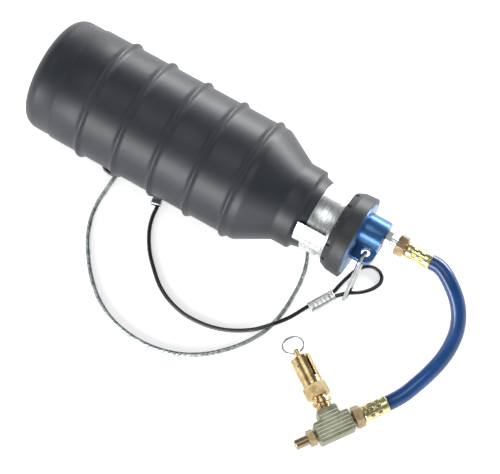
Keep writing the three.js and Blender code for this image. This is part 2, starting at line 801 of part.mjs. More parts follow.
function tee() {
  const end = TEE_LENGTH / 2;
  const side = TEE_WIDTH / 2;
  const outline = roundedOutline(
    [
      [-end, -side],
      [end, -side],
      [end, side],
      [side, side],
      [side, TEE_BRANCH],
      [-side, TEE_BRANCH],
      [-side, side],
      [-end, side],
    ],
    TEE_CORNER_RADIUS,
  );
  const options = { depth: TEE_HEIGHT, bevelEnabled: false, curveSegments: 3 };
  const body = new THREE.ExtrudeGeometry(outline, options);
  body.translate(0, 0, -TEE_HEIGHT / 2);
  const pieces = [body];
  const half = TEE_HEIGHT / 2;
  for (const face of [-1, 1]) {
    for (let ridge = 0; ridge < TEE_RIDGE_COUNT + 2; ridge += 1) {
      const y = (ridge - (TEE_RIDGE_COUNT - 1) / 2) * TEE_RIDGE_SPACING;
      const reach = (y + TEE_RIDGE_WIDTH < side ? end : side) - TEE_CORNER_RADIUS;
      const inner = face * (half - CUT);
      const outer = face * (half + TEE_RIDGE_HEIGHT);
      const low = [-reach, y - TEE_RIDGE_WIDTH / 2, Math.min(inner, outer)];
      const high = [reach, y + TEE_RIDGE_WIDTH / 2, Math.max(inner, outer)];
      pieces.push(boxBetween(low, high));
    }
  }
  const branchBore = rod(0, TEE_BRANCH, TEE_BORE_RADIUS);
  const branchPort = rod(TEE_BRANCH - PORT_DEPTH, TEE_BRANCH + CUT, PORT_RADIUS);
  branchBore.rotateZ(Math.PI / 2);
  branchPort.rotateZ(Math.PI / 2);
  const tools = [
    rod(-end, end, TEE_BORE_RADIUS),
    rod(-end - CUT, -end + PORT_DEPTH, PORT_RADIUS),
    rod(end - PORT_DEPTH, end + CUT, PORT_RADIUS),
    branchBore,
    branchPort,
  ];
  return mesh("filling_tee", cut(joined(pieces), tools), "cast");
}

function lowerTail() {
  const shank = rod(TEE_LENGTH / 2 - PORT_DEPTH + GAP, TAIL_HEX_X + CUT, SHANK_RADIUS);
  const hex = hexBody(TAIL_HEX_X, TAIL_HEX_X + TAIL_HEX_LENGTH, NUT_HEX);
  const tailEnd = LOWER_FERRULE_X + TAIL_IN_FERRULE;
  const tail = rod(TAIL_HEX_X + TAIL_HEX_LENGTH - CUT, tailEnd, TAIL_RADIUS);
  const bore = rod(0, tailEnd + CUT, TAIL_BORE_RADIUS);
  return mesh("lower_hose_tail", cut(joined([shank, hex, tail]), [bore]), "brass");
}

function fillValveBody() {
  const faceX = -TEE_LENGTH / 2;
  const hexEnd = faceX - FILL_NECK_LENGTH;
  const hexStart = hexEnd - FILL_HEX_LENGTH;
  const stemEnd = hexStart - FILL_STEM_LENGTH;
  const shank = rod(hexEnd - CUT, faceX + PORT_DEPTH - GAP, SHANK_RADIUS);
  const hex = hexBody(hexStart, hexEnd, FILL_HEX);
  const stem = rod(stemEnd, hexStart + CUT, FILL_STEM_RADIUS);
  const bore = rod(stemEnd - CUT, faceX + PORT_DEPTH, FILL_BORE_RADIUS);
  return mesh("fill_valve_body", cut(joined([shank, hex, stem]), [bore]), "brass");
}

function fillValveCore() {
  const stemEnd = -TEE_LENGTH / 2 - FILL_NECK_LENGTH - FILL_HEX_LENGTH - FILL_STEM_LENGTH;
  const radius = FILL_BORE_RADIUS - GAP;
  const start = stemEnd + 1.5;
  const end = start + FILL_CORE_LENGTH;
  const corners = [
    [start - 1, 0],
    [start - 1, FILL_PIN_RADIUS],
    [start, FILL_PIN_RADIUS],
    [start, radius],
    [start + FILL_CORE_LENGTH * 0.6, radius],
    [start + FILL_CORE_LENGTH * 0.7, radius - 0.8],
    [end, radius - 0.8],
    [end, 0],
  ];
  return mesh("fill_valve_core", turned(corners, SMALL_ROUND), "brass");
}

// Stations on the relief valve's own X axis, which runs along the tee's branch from the tee's middle
const RELIEF_NECK_X = TEE_BRANCH + GAP;
const RELIEF_RING_X = RELIEF_NECK_X + RELIEF_NECK_LENGTH;
const RELIEF_GROOVE_X = RELIEF_RING_X + RELIEF_RING_LENGTH;
const RELIEF_HEX_X = RELIEF_GROOVE_X + RELIEF_GROOVE_LENGTH;
const BONNET_X = RELIEF_HEX_X + RELIEF_HEX_LENGTH + GAP;
const SEAT_X = RELIEF_HEX_X + RELIEF_HEX_LENGTH + RELIEF_SEAT_LENGTH;
const BONNET_END_X = BONNET_X + BONNET_LENGTH;
const SEAL_X = SEAT_X + GAP;
const DISC_X = SEAL_X + SEAL_THICKNESS + GAP;
const ADJUSTER_X = BONNET_END_X - ADJUSTER_FROM_TOP - ADJUSTER_THICKNESS;
const KNOB_X = BONNET_END_X + KNOB_FROM_BONNET;
const KNOB_END_X = KNOB_X + KNOB_LENGTH;
const RING_HOLE_X = KNOB_END_X - RING_HOLE_FROM_TOP;

function reliefBase() {
  const shank = rod(TEE_BRANCH - PORT_DEPTH + GAP, RELIEF_NECK_X + CUT, SHANK_RADIUS);
  const neck = turned(
    [
      [RELIEF_NECK_X, 0],
      [RELIEF_NECK_X, RELIEF_NECK_RADIUS],
      [RELIEF_RING_X, RELIEF_NECK_RADIUS],
      [RELIEF_RING_X + 0.5, RELIEF_RING_RADIUS],
      [RELIEF_GROOVE_X - 0.5, RELIEF_RING_RADIUS],
      [RELIEF_GROOVE_X, RELIEF_NECK_RADIUS],
      [RELIEF_HEX_X + CUT, RELIEF_NECK_RADIUS],
      [RELIEF_HEX_X + CUT, 0],
    ],
    24,
  );
  const hex = hexBody(RELIEF_HEX_X, RELIEF_HEX_X + RELIEF_HEX_LENGTH, RELIEF_HEX);
  const seat = rod(RELIEF_HEX_X + RELIEF_HEX_LENGTH - CUT, SEAT_X, RELIEF_SEAT_RADIUS);
  const bore = rod(TEE_BRANCH - PORT_DEPTH, SEAT_X + CUT, TEE_BORE_RADIUS);
  return mesh("relief_base", cut(joined([shank, neck, hex, seat]), [bore]), "brass");
}

function reliefBonnet() {
  const shell = turned(
    [
      [BONNET_X, BONNET_BORE_RADIUS],
      [BONNET_X, BONNET_RADIUS],
      [BONNET_END_X - 0.8, BONNET_RADIUS],
      [BONNET_END_X, BONNET_RADIUS - 0.8],
      [BONNET_END_X, BONNET_BORE_RADIUS],
      [BONNET_X, BONNET_BORE_RADIUS],
    ],
    32,
  );
  const tools = [];
  for (let slot = 0; slot < BONNET_SLOT_COUNT; slot += 1) {
    const low = [BONNET_X + BONNET_SKIRT, -BONNET_SLOT_WIDTH / 2, BONNET_BORE_RADIUS - CUT];
    const high = [BONNET_END_X + CUT, BONNET_SLOT_WIDTH / 2, BONNET_RADIUS + CUT];
    const tool = boxBetween(low, high);
    tool.rotateX(degrees(BONNET_SLOT_TURN) + (slot / BONNET_SLOT_COUNT) * 2 * Math.PI);
    tools.push(tool);
  }
  const vent = new THREE.CylinderGeometry(VENT_RADIUS, VENT_RADIUS, BONNET_RADIUS, 10);
  vent.rotateX(Math.PI / 2);
  vent.translate(BONNET_END_X - VENT_FROM_TOP, 0, BONNET_RADIUS);
  vent.rotateX(degrees(-VENT_TURN));
  tools.push(vent);
  return mesh("relief_bonnet", cut(shell, tools), "brass");
}

function reliefSeal() {
  const corners = [
    [SEAL_X, 0],
    [SEAL_X, SEAL_RADIUS],
    [SEAL_X + SEAL_THICKNESS, SEAL_RADIUS],
    [SEAL_X + SEAL_THICKNESS, 0],
  ];
  return mesh("relief_seal", turned(corners, SMALL_ROUND), "black_rubber");
}

function reliefStem() {
  const rodEnd = KNOB_X + KNOB_LENGTH / 2 - RING_HOLE_RADIUS;
  const corners = [
    [DISC_X, 0],
    [DISC_X, DISC_RADIUS],
    [DISC_X + DISC_THICKNESS, DISC_RADIUS],
    [DISC_X + DISC_THICKNESS, STEM_RADIUS],
    [rodEnd, STEM_RADIUS],
    [rodEnd, 0],
  ];
  return mesh("relief_stem", turned(corners, SMALL_ROUND), "brass");
}

function reliefAdjuster() {
  const end = ADJUSTER_X + ADJUSTER_THICKNESS;
  const inner = STEM_RADIUS + GAP;
  const outer = BONNET_BORE_RADIUS - GAP;
  const disc = turned(
    [
      [ADJUSTER_X, inner],
      [ADJUSTER_X, outer],
      [end, outer],
      [end, inner],
      [ADJUSTER_X, inner],
    ],
    24,
  );
  const slot = boxBetween([end - 1, -0.6, -BONNET_RADIUS], [end + CUT, 0.6, BONNET_RADIUS]);
  return mesh("relief_adjuster", cut(disc, [slot]), "brass");
}

function reliefSpring() {
  const start = DISC_X + DISC_THICKNESS + GAP + SPRING_WIRE_RADIUS;
  const end = ADJUSTER_X - GAP - SPRING_WIRE_RADIUS;
  const steps = SPRING_TURNS * 10;
  const points = [];
  for (let step = 0; step <= steps; step += 1) {
    const angle = (step / steps) * SPRING_TURNS * 2 * Math.PI;
    const x = start + ((end - start) * step) / steps;
    points.push(new THREE.Vector3(x, SPRING_RADIUS * Math.cos(angle), SPRING_RADIUS * Math.sin(angle)));
  }
  return mesh("relief_spring", cordTube(points, 2 * SPRING_WIRE_RADIUS, 6, steps), "steel");
}

function reliefKnob() {
  const body = turned(
    [
      [KNOB_X, 0],
      [KNOB_X, KNOB_RADIUS],
      [KNOB_END_X - 0.7, KNOB_RADIUS],
      [KNOB_END_X, KNOB_RADIUS - 0.7],
      [KNOB_END_X, 0],
    ],
    SMALL_ROUND,
  );
  const socket = rod(KNOB_X - CUT, KNOB_X + KNOB_LENGTH / 2 - RING_HOLE_RADIUS + GAP, STEM_RADIUS + GAP);
  const ringHole = rod(-KNOB_RADIUS - CUT, KNOB_RADIUS + CUT, RING_HOLE_RADIUS, 0, 0, 12);
  ringHole.rotateZ(Math.PI / 2);
  ringHole.translate(RING_HOLE_X, 0, 0);
  return mesh("relief_knob", cut(body, [socket, ringHole]), "brass");
}

function pullRing() {
  const geometry = new THREE.TorusGeometry(PULL_RING_RADIUS, PULL_RING_WIRE_RADIUS, 6, 30);
  geometry.translate(PULL_RING_RADIUS, 0, 0);
  const drop = TEE_AXIS_HEIGHT - PULL_RING_WIRE_RADIUS - GAP;
  geometry.rotateY(Math.asin(drop / (2 * PULL_RING_RADIUS)));
  geometry.translate(RING_HOLE_X, 0, 0);
  return mesh("pull_ring", geometry, "steel");
}

function teeGroup() {
  const relief = new THREE.Group();
  relief.add(reliefBase(), reliefBonnet(), reliefSeal(), reliefStem(), reliefSpring());
  relief.add(reliefAdjuster(), reliefKnob(), pullRing());
  relief.rotation.z = Math.PI / 2;
  const group = new THREE.Group();
  group.add(tee(), lowerTail(), hoseFerrule("lower_ferrule", LOWER_FERRULE_X));
  group.add(fillValveBody(), fillValveCore(), relief);
  group.position.set(TEE_X, TEE_Y, GROUND + TEE_AXIS_HEIGHT);
  group.rotation.z = degrees(TEE_TURN);
  return group;
}

// The two strands in an oval sleeve lie side by side, level with the ground.
function sleeveLine(sleeve) {
  const start = standing(sleeve.start);
  const end = standing(sleeve.end);
  const along = end.clone().sub(start).normalize();
  const side = new THREE.Vector3().crossVectors(along, new THREE.Vector3(0, 0, 1)).normalize();
  return { start, end, along, side };
}

function strandIn(sleeve, whichSide) {
  const { start, end, side } = sleeveLine(sleeve);
  const offset = side.clone().multiplyScalar((whichSide * STRAND_SPACING) / 2);
  const middle = start.clone().lerp(end, 0.5);
  return [start, middle, end].map((point) => point.clone().add(offset));
}

function towCable() {
  const front = strandIn(SLEEVE_FRONT, 1);
  const frontBack = strandIn(SLEEVE_FRONT, -1).reverse();
  const hidden = strandIn(SLEEVE_HIDDEN, 1);
  const hiddenBack = strandIn(SLEEVE_HIDDEN, -1).reverse();
  const points = [
    ...front,
    ...CABLE_EYE_POINTS.map(standing),
    ...frontBack,
    ...CABLE_RUN_POINTS.map(standing),
    ...hidden,
    ...CABLE_HIDDEN_EYE_POINTS.map(standing),
    ...hiddenBack,
  ];
  return mesh("tow_cable", cordTube(points, CABLE_DIAMETER, 8, 84), "cable");
}

function oval(straight, radius) {
  const outline = new THREE.Shape();
  outline.absarc(straight / 2, 0, radius, -Math.PI / 2, Math.PI / 2, false);
  outline.absarc(-straight / 2, 0, radius, Math.PI / 2, (3 * Math.PI) / 2, false);
  outline.closePath();
  return outline;
}

function cableSleeve(name, sleeve) {
  const { start, along, side } = sleeveLine(sleeve);
  const slot = CABLE_DIAMETER / 2 + GAP;
  const outline = oval(STRAND_SPACING, slot + SLEEVE_WALL);
  outline.holes.push(oval(STRAND_SPACING, slot));
  const options = { depth: SLEEVE_LENGTH, bevelEnabled: false, curveSegments: 8 };
  return aim(mesh(name, new THREE.ExtrudeGeometry(outline, options), "steel"), start, along, side);
}

function ropeRing() {
  const turn = degrees(ROPE_FERRULE_TURN);
  const reach = ROPE_FERRULE_LENGTH / 2 + GAP;
  const along = new THREE.Vector3(Math.cos(turn), Math.sin(turn), 0).multiplyScalar(reach);
  const centre = standing(ROPE_FERRULE_CENTRE);
  const points = [centre.clone().add(along), ...ROPE_POINTS.map(standing), centre.clone().sub(along)];
  return mesh("wire_rope_ring", cordTube(points, ROPE_DIAMETER, 8, 76), "steel");
}

function ropeFerrule() {
  const half = ROPE_FERRULE_LENGTH / 2;
  const corners = [
    [-half, 0],
    [-half, ROPE_FERRULE_RADIUS - 0.6],
    [-half + 0.6, ROPE_FERRULE_RADIUS],
    [half - 0.6, ROPE_FERRULE_RADIUS],
    [half, ROPE_FERRULE_RADIUS - 0.6],
    [half, 0],
  ];
  const piece = mesh("wire_rope_ferrule", turned(corners, 24), "steel");
  piece.position.copy(standing(ROPE_FERRULE_CENTRE));
  piece.rotation.z = degrees(ROPE_FERRULE_TURN);
  return piece;
}

// A long wire link: its upper bend goes round the lug's web and it leans down from there to the ground.
function towLink() {
  const half = LINK_STRAIGHT / 2;
  const torus = new THREE.TorusGeometry(LINK_BEND_RADIUS, LINK_WIRE_RADIUS, 10, 24);
  const cutter = LINK_BEND_RADIUS + LINK_WIRE_RADIUS + CUT;
  const lowerBend = torus.clone();
  lowerBend.translate(half, 0, 0);
  const upperBend = torus.clone();
  upperBend.translate(-half, 0, 0);
  const lowerCut = boxBetween([half - cutter, -cutter, -cutter], [half, cutter, cutter]);
  const upperCut = boxBetween([-half, -cutter, -cutter], [-half + cutter, cutter, cutter]);
  const sides = [-1, 1].map((side) => rod(-half, half, LINK_WIRE_RADIUS, side * LINK_BEND_RADIUS, 0, 10));
  const bends = [cut(lowerBend, [lowerCut]), cut(upperBend, [upperCut])];
  const geometry = joined([...bends, ...sides]);
  geometry.translate(half, 0, 0);
  geometry.rotateY(degrees(90));
  const piece = mesh("tow_link", geometry, "steel");
  piece.rotation.x = -degrees(LINK_LEAN);
  const hole = FLANGE_FACE_X + LUG_HOLE_FROM_FACE + CUT;
  piece.position.set(hole, LUG_HOLE_Y - LINK_BEND_RADIUS, -LUG_DROP);
  return piece;
}

const plug = new THREE.Group();
plug.add(bladder(), clampBand(), clampBuckle(), bumperRing(), endFitting());
plug.add(inletGroup(), hose(), teeGroup());
plug.add(towLink(), towCable(), cableSleeve("cable_sleeve_front", SLEEVE_FRONT));
plug.add(cableSleeve("cable_sleeve_hidden", SLEEVE_HIDDEN), ropeRing(), ropeFerrule());

export default plug;
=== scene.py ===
import math

import bpy
import numpy as np
from mathutils import Matrix, Vector


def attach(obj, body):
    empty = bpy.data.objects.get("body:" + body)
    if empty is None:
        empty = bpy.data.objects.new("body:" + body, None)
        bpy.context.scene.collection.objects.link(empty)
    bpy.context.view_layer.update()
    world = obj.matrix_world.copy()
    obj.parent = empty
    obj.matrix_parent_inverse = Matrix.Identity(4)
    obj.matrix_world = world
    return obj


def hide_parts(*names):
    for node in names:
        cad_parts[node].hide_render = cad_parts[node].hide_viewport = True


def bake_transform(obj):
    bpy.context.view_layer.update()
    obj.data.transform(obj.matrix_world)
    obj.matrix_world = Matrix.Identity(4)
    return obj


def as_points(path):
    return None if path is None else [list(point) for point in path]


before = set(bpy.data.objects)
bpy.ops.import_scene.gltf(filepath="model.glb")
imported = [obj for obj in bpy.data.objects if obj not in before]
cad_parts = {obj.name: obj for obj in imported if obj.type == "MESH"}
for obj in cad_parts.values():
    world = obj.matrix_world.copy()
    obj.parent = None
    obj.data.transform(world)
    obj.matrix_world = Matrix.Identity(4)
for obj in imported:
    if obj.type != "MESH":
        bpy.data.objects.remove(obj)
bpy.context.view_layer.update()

# Metres in the row frame: +X along the bladder's axis towards the hose, +Z up.
# The piece builders below take millimetres and scale them once.
MM = 0.001
GROUND = -0.0499


# Camera
def set_camera():
    turn, tilt = math.radians(30.7), math.radians(70.7)
    right = Vector((math.cos(turn), math.sin(turn), 0))
    up = Vector((-math.sin(tilt) * math.sin(turn), math.sin(tilt) * math.cos(turn), math.cos(tilt)))
    back = right.cross(up)
    data = bpy.data.cameras.new("camera")
    data.lens = 133.2
    data.sensor_width = 36
    data.sensor_fit = "HORIZONTAL"
    data.clip_start = 0.05
    data.clip_end = 20
    camera = bpy.data.objects.new("camera", data)
    bpy.context.scene.collection.objects.link(camera)
    camera.matrix_world = Matrix(
        (
            (right.x, up.x, back.x, 0.43145),
            (right.y, up.y, back.y, -0.4276),
            (right.z, up.z, back.z, 1.2876),
            (0, 0, 0, 1),
        )
    )
    bpy.context.scene.camera = camera


set_camera()


# Materials
def linear(value):
    value /= 255
    return value / 12.92 if value <= 0.04045 else ((value + 0.055) / 1.055) ** 2.4


def tone(red, green, blue):
    return (linear(red), linear(green), linear(blue), 1)


def material(name, dark, light, rough, metal=0.0, coat=0.0, grain=60.0, stretch=(1, 1, 1), bump=0.1, spots=900.0):
    """Two tones mixed by a soft noise, with the roughness and the surface following finer noises."""
    made = bpy.data.materials.new(name)
    made.use_nodes = True
    tree = made.node_tree
    nodes, links = tree.nodes, tree.links
    shader = nodes["Principled BSDF"]
    place = nodes.new("ShaderNodeTexCoord")
    mapping = nodes.new("ShaderNodeMapping")
    mapping.inputs["Scale"].default_value = stretch
    links.new(place.outputs["Object"], mapping.inputs["Vector"])
    broad = nodes.new("ShaderNodeTexNoise")
    broad.inputs["Scale"].default_value = grain
    broad.inputs["Detail"].default_value = 4
    links.new(mapping.outputs["Vector"], broad.inputs["Vector"])
    tones = nodes.new("ShaderNodeValToRGB")
    tones.color_ramp.elements[0].position = 0.35
    tones.color_ramp.elements[0].color = dark
    tones.color_ramp.elements[1].position = 0.65
    tones.color_ramp.elements[1].color = light
    links.new(broad.outputs["Fac"], tones.inputs["Fac"])
    links.new(tones.outputs["Color"], shader.inputs["Base Color"])
    fine = nodes.new("ShaderNodeTexNoise")
    fine.inputs["Scale"].default_value = spots
    fine.inputs["Detail"].default_value = 3
    links.new(mapping.outputs["Vector"], fine.inputs["Vector"])
    spread = nodes.new("ShaderNodeMapRange")
    spread.inputs["From Min"].default_value = 0.3
    spread.inputs["From Max"].default_value = 0.7
    spread.inputs["To Min"].default_value = rough * 0.85
    spread.inputs["To Max"].default_value = rough * 1.15
    links.new(fine.outputs["Fac"], spread.inputs["Value"])
    links.new(spread.outputs["Result"], shader.inputs["Roughness"])
    relief = nodes.new("ShaderNodeBump")
    relief.inputs["Strength"].default_value = bump
    relief.inputs["Distance"].default_value = 0.0002
    links.new(fine.outputs["Fac"], relief.inputs["Height"])
    links.new(relief.outputs["Normal"], shader.inputs["Normal"])
    shader.inputs["Metallic"].default_value = metal
    shader.inputs["Coat Weight"].default_value = coat
    shader.inputs["Coat Roughness"].default_value = 0.06
    return made


BLADDER = material("bladder_rubber", tone(24, 29, 34), tone(32, 37, 43), 0.44, grain=35, bump=0.12, spots=1300)
RUBBER = material("black_rubber", tone(24, 28, 31), tone(32, 36, 40), 0.46, grain=80, bump=0.15, spots=1500)
STEEL = material(
    "satin_steel", tone(196, 200, 198), tone(222, 226, 224), 0.3, metal=1, grain=120, bump=0.05
)
BRUSHED = material(
    "brushed_band", tone(182, 188, 186), tone(226, 231, 229), 0.3, metal=1, grain=160, stretch=(6, 1, 1), bump=0.08
)
WIRE = material("steel_wire", tone(168, 172, 172), tone(206, 210, 210), 0.24, metal=1, grain=150, bump=0.05)
ROPE = material("wire_rope", tone(140, 148, 148), tone(200, 208, 206), 0.3, metal=1, coat=0.6, grain=200, bump=0.1)
BLUE = material("blue_metal", tone(50, 94, 142), tone(66, 112, 164), 0.32, metal=0.7, coat=0.25, grain=70, bump=0.06)
HOSE = material("blue_hose", tone(11, 56, 108), tone(15, 66, 124), 0.24, coat=0.3, grain=60, bump=0.04)
NUT = material("nut_brass", tone(146, 126, 98), tone(182, 162, 128), 0.32, metal=1, grain=150, bump=0.12)
PALE = material("pale_brass", tone(200, 190, 138), tone(230, 222, 174), 0.24, metal=1, grain=150, bump=0.08)
VALVE = material("valve_brass", tone(172, 146, 100), tone(212, 190, 144), 0.24, metal=1, grain=150, bump=0.1)
CAST = material(
    "cast_tee", tone(132, 134, 112), tone(160, 162, 140), 0.46, metal=0.75, grain=160, bump=0.5, spots=700
)
# Painted shade: a darker brass laid on the ferrules' dimple floors in place of the shade that falls in the recesses.
DIMPLE_SHADE = material("dimple_painted_shade", tone(112, 104, 62), tone(150, 142, 92), 0.36, metal=1, grain=200, bump=0.1)
# Painted highlight: a pale cream laid on the tee's raised ridges in place of the light they catch.
RIDGE_HIGHLIGHT = material("ridge_painted_highlight", tone(196, 196, 170), tone(220, 220, 196), 0.4, metal=0.4, grain=200, bump=0.2)
COATING = material("cable_coat", tone(12, 13, 14), tone(20, 21, 22), 0.24, coat=0.6, grain=90, bump=0.03)


# Mesh builders
def piece(name, vertices, faces, look, body="plug", replaces=(), slot=None, sharp=32.0):
    mesh = bpy.data.meshes.new(name)
    mesh.from_pydata([tuple(v) for v in vertices], [], faces)
    mesh.validate()
    mesh.update()
    mesh.shade_smooth()
    mesh.set_sharp_from_angle(angle=math.radians(sharp))
    mesh.materials.append(look)
    obj = bpy.data.objects.new(name, mesh)
    bpy.context.scene.collection.objects.link(obj)
    if body:
        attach(obj, body)
    if replaces:
        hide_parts(*replaces)
    return obj


def placed(points, place):
    """Millimetre points under a millimetre matrix, as metres."""
    table = np.asarray(points, float)
    if place is not None:
        matrix = np.array(place)
        table = table @ matrix[:3, :3].T + matrix[:3, 3]
    return table * MM


def join(*parts):
    vertices, faces = [], []
    for part_vertices, part_faces in parts:
        start = len(vertices)
        vertices.extend(part_vertices)
        faces.extend([tuple(start + i for i in face) for face in part_faces])
    return vertices, faces


def dense(stations, step):
    """The same profile with extra stations, so that no stretch is longer than step."""
    out = [stations[0]]
    for (x0, r0), (x1, r1) in zip(stations, stations[1:]):
        count = max(1, math.ceil(math.hypot(x1 - x0, r1 - r0) / step))
        out.extend((x0 + (x1 - x0) * k / count, r0 + (r1 - r0) * k / count) for k in range(1, count + 1))
    return out


def turned(stations, sides=72, shape=None, loop=False, place=None, centre=(0.0, 0.0)):
    """A body turned about +X from (x, radius) stations. shape may change the radius by place and angle; 0 is up."""
    angles = [2 * math.pi * k / sides for k in range(sides)]
    points, faces = [], []
    for x, radius in stations:
        for angle in angles:
            r = shape(x, radius, angle) if shape else radius
            points.append((x, centre[0] + r * math.sin(angle), centre[1] + r * math.cos(angle)))
    rings = len(stations)
    for i in range(rings if loop else rings - 1):
        low, high = i * sides, ((i + 1) % rings) * sides
        for k in range(sides):
            n = (k + 1) % sides
            faces.append((low + k, high + k, high + n, low + n))
    if not loop:
        for ring, flip in ((0, False), (rings - 1, True)):
            if stations[ring][1] > 1e-6:
                face = tuple(ring * sides + k for k in range(sides))
                faces.append(tuple(reversed(face)) if flip else face)
    return collapse(placed(points, place), faces)


def collapse(vertices, faces):
    """Joins the points of a ring that has shrunk to one point."""
    seen, index, kept = {}, [], []
    for vertex in vertices:
        key = tuple(round(float(c), 8) for c in vertex)
        if key not in seen:
            seen[key] = len(kept)
            kept.append(tuple(float(c) for c in vertex))
        index.append(seen[key])
    out = []
    for face in faces:
        loop = []
        for i in face:
            if index[i] not in loop:
                loop.append(index[i])
        if len(loop) > 2:
            out.append(tuple(loop))
    return kept, out


HEX_BEVEL = 0.8  # share of the corner's rise that the bevel takes off
HEX_BEVEL_SLOPE = 0.55  # the bevel's length for its depth
HEX_BEVEL_STEP = 0.08


def hex_radius(angle, across):
    third = math.pi / 3
    return across / 2 / math.cos((angle + third / 2) % third - third / 2)


def hex_bar(start, end, across, place):
    """A six-sided bar whose corners are turned off at both ends."""
    corner = across / math.sqrt(3)
    drop = (corner - across / 2) * HEX_BEVEL
    length = drop * HEX_BEVEL_SLOPE
    stations = dense([(start, corner - drop), (start + length, corner)], HEX_BEVEL_STEP)
    stations += dense([(end - length, corner), (end, corner - drop)], HEX_BEVEL_STEP)
    stations = [(start, 0), *stations, (end, 0)]
    return turned(stations, 72, lambda x, r, a: min(r, hex_radius(a, across)), place=place)


def box_part(low, high, place=None):
    (x0, y0, z0), (x1, y1, z1) = low, high
    points = [(x, y, z) for x in (x0, x1) for y in (y0, y1) for z in (z0, z1)]
    faces = [(0, 1, 3, 2), (4, 6, 7, 5), (0, 4, 5, 1), (2, 3, 7, 6), (0, 2, 6, 4), (1, 5, 7, 3)]
    return [tuple(v) for v in placed(points, place)], faces


def catmull(points, spacing):
    """A centripetal Catmull-Rom line through the points, resampled to even steps. Metres."""
    pts = [np.array(p, float) for p in points]
    pts = [2 * pts[0] - pts[1], *pts, 2 * pts[-1] - pts[-2]]
    line = []
    for i in range(1, len(pts) - 2):
        p0, p1, p2, p3 = pts[i - 1 : i + 3]
        d0, d1, d2 = (max(np.linalg.norm(b - a) ** 0.5, 1e-6) for a, b in ((p0, p1), (p1, p2), (p2, p3)))
        t1 = ((p1 - p0) / d0 - (p2 - p0) / (d0 + d1) + (p2 - p1) / d1) * d1
        t2 = ((p2 - p1) / d1 - (p3 - p1) / (d1 + d2) + (p3 - p2) / d2) * d1
        for k in range(24):
            t = k / 24
            a, b = -3 * p1 + 3 * p2 - 2 * t1 - t2, 2 * p1 - 2 * p2 + t1 + t2
            line.append(p1 + t1 * t + a * t * t + b * t * t * t)
    line.append(pts[-2])
    line = np.array(line)
    run = np.concatenate([[0], np.cumsum(np.linalg.norm(np.diff(line, axis=0), axis=1))])
    count = max(2, round(run[-1] / spacing) + 1)
    at = np.linspace(0, run[-1], count)
    return np.stack([np.interp(at, run, line[:, axis]) for axis in range(3)], axis=1), float(run[-1])


def tube(line, radius, sides=16, lobes=0, depth=0.0, lay=0.025, closed=False):
    """A round bar along a line of points in metres. With lobes, its skin is laid up like a rope's strands."""
    line = np.asarray(line, float)
    count = len(line)
    if closed:
        tangents = np.roll(line, -1, axis=0) - np.roll(line, 1, axis=0)
    else:
        tangents = np.gradient(line, axis=0)
    tangents /= np.linalg.norm(tangents, axis=1)[:, None]
    side = np.cross(tangents[0], (0, 0, 1.0))
    if np.linalg.norm(side) < 0.1:
        side = np.cross(tangents[0], (0, 1.0, 0))
    vertices, faces = [], []
    run = 0.0
    for i in range(count):
        side = side - tangents[i] * side.dot(tangents[i])
        side /= np.linalg.norm(side)
        other = np.cross(tangents[i], side)
        if i:
            run += np.linalg.norm(line[i] - line[i - 1])
        twist = 2 * math.pi * run / lay
        for k in range(sides):
            angle = 2 * math.pi * k / sides
            r = radius
            if lobes:
                r = radius * (1 - depth * (1 - abs(math.cos(lobes * (angle - twist) / 2))))
            vertices.append(tuple(line[i] + side * (r * math.cos(angle)) + other * (r * math.sin(angle))))
    for i in range(count if closed else count - 1):
        low, high = i * sides, ((i + 1) % count) * sides
        for k in range(sides):
            n = (k + 1) % sides
            faces.append((low + k, low + n, high + n, high + k))
    if not closed:
        faces.append(tuple(reversed(range(sides))))
        faces.append(tuple((count - 1) * sides + k for k in range(sides)))
    return vertices, faces


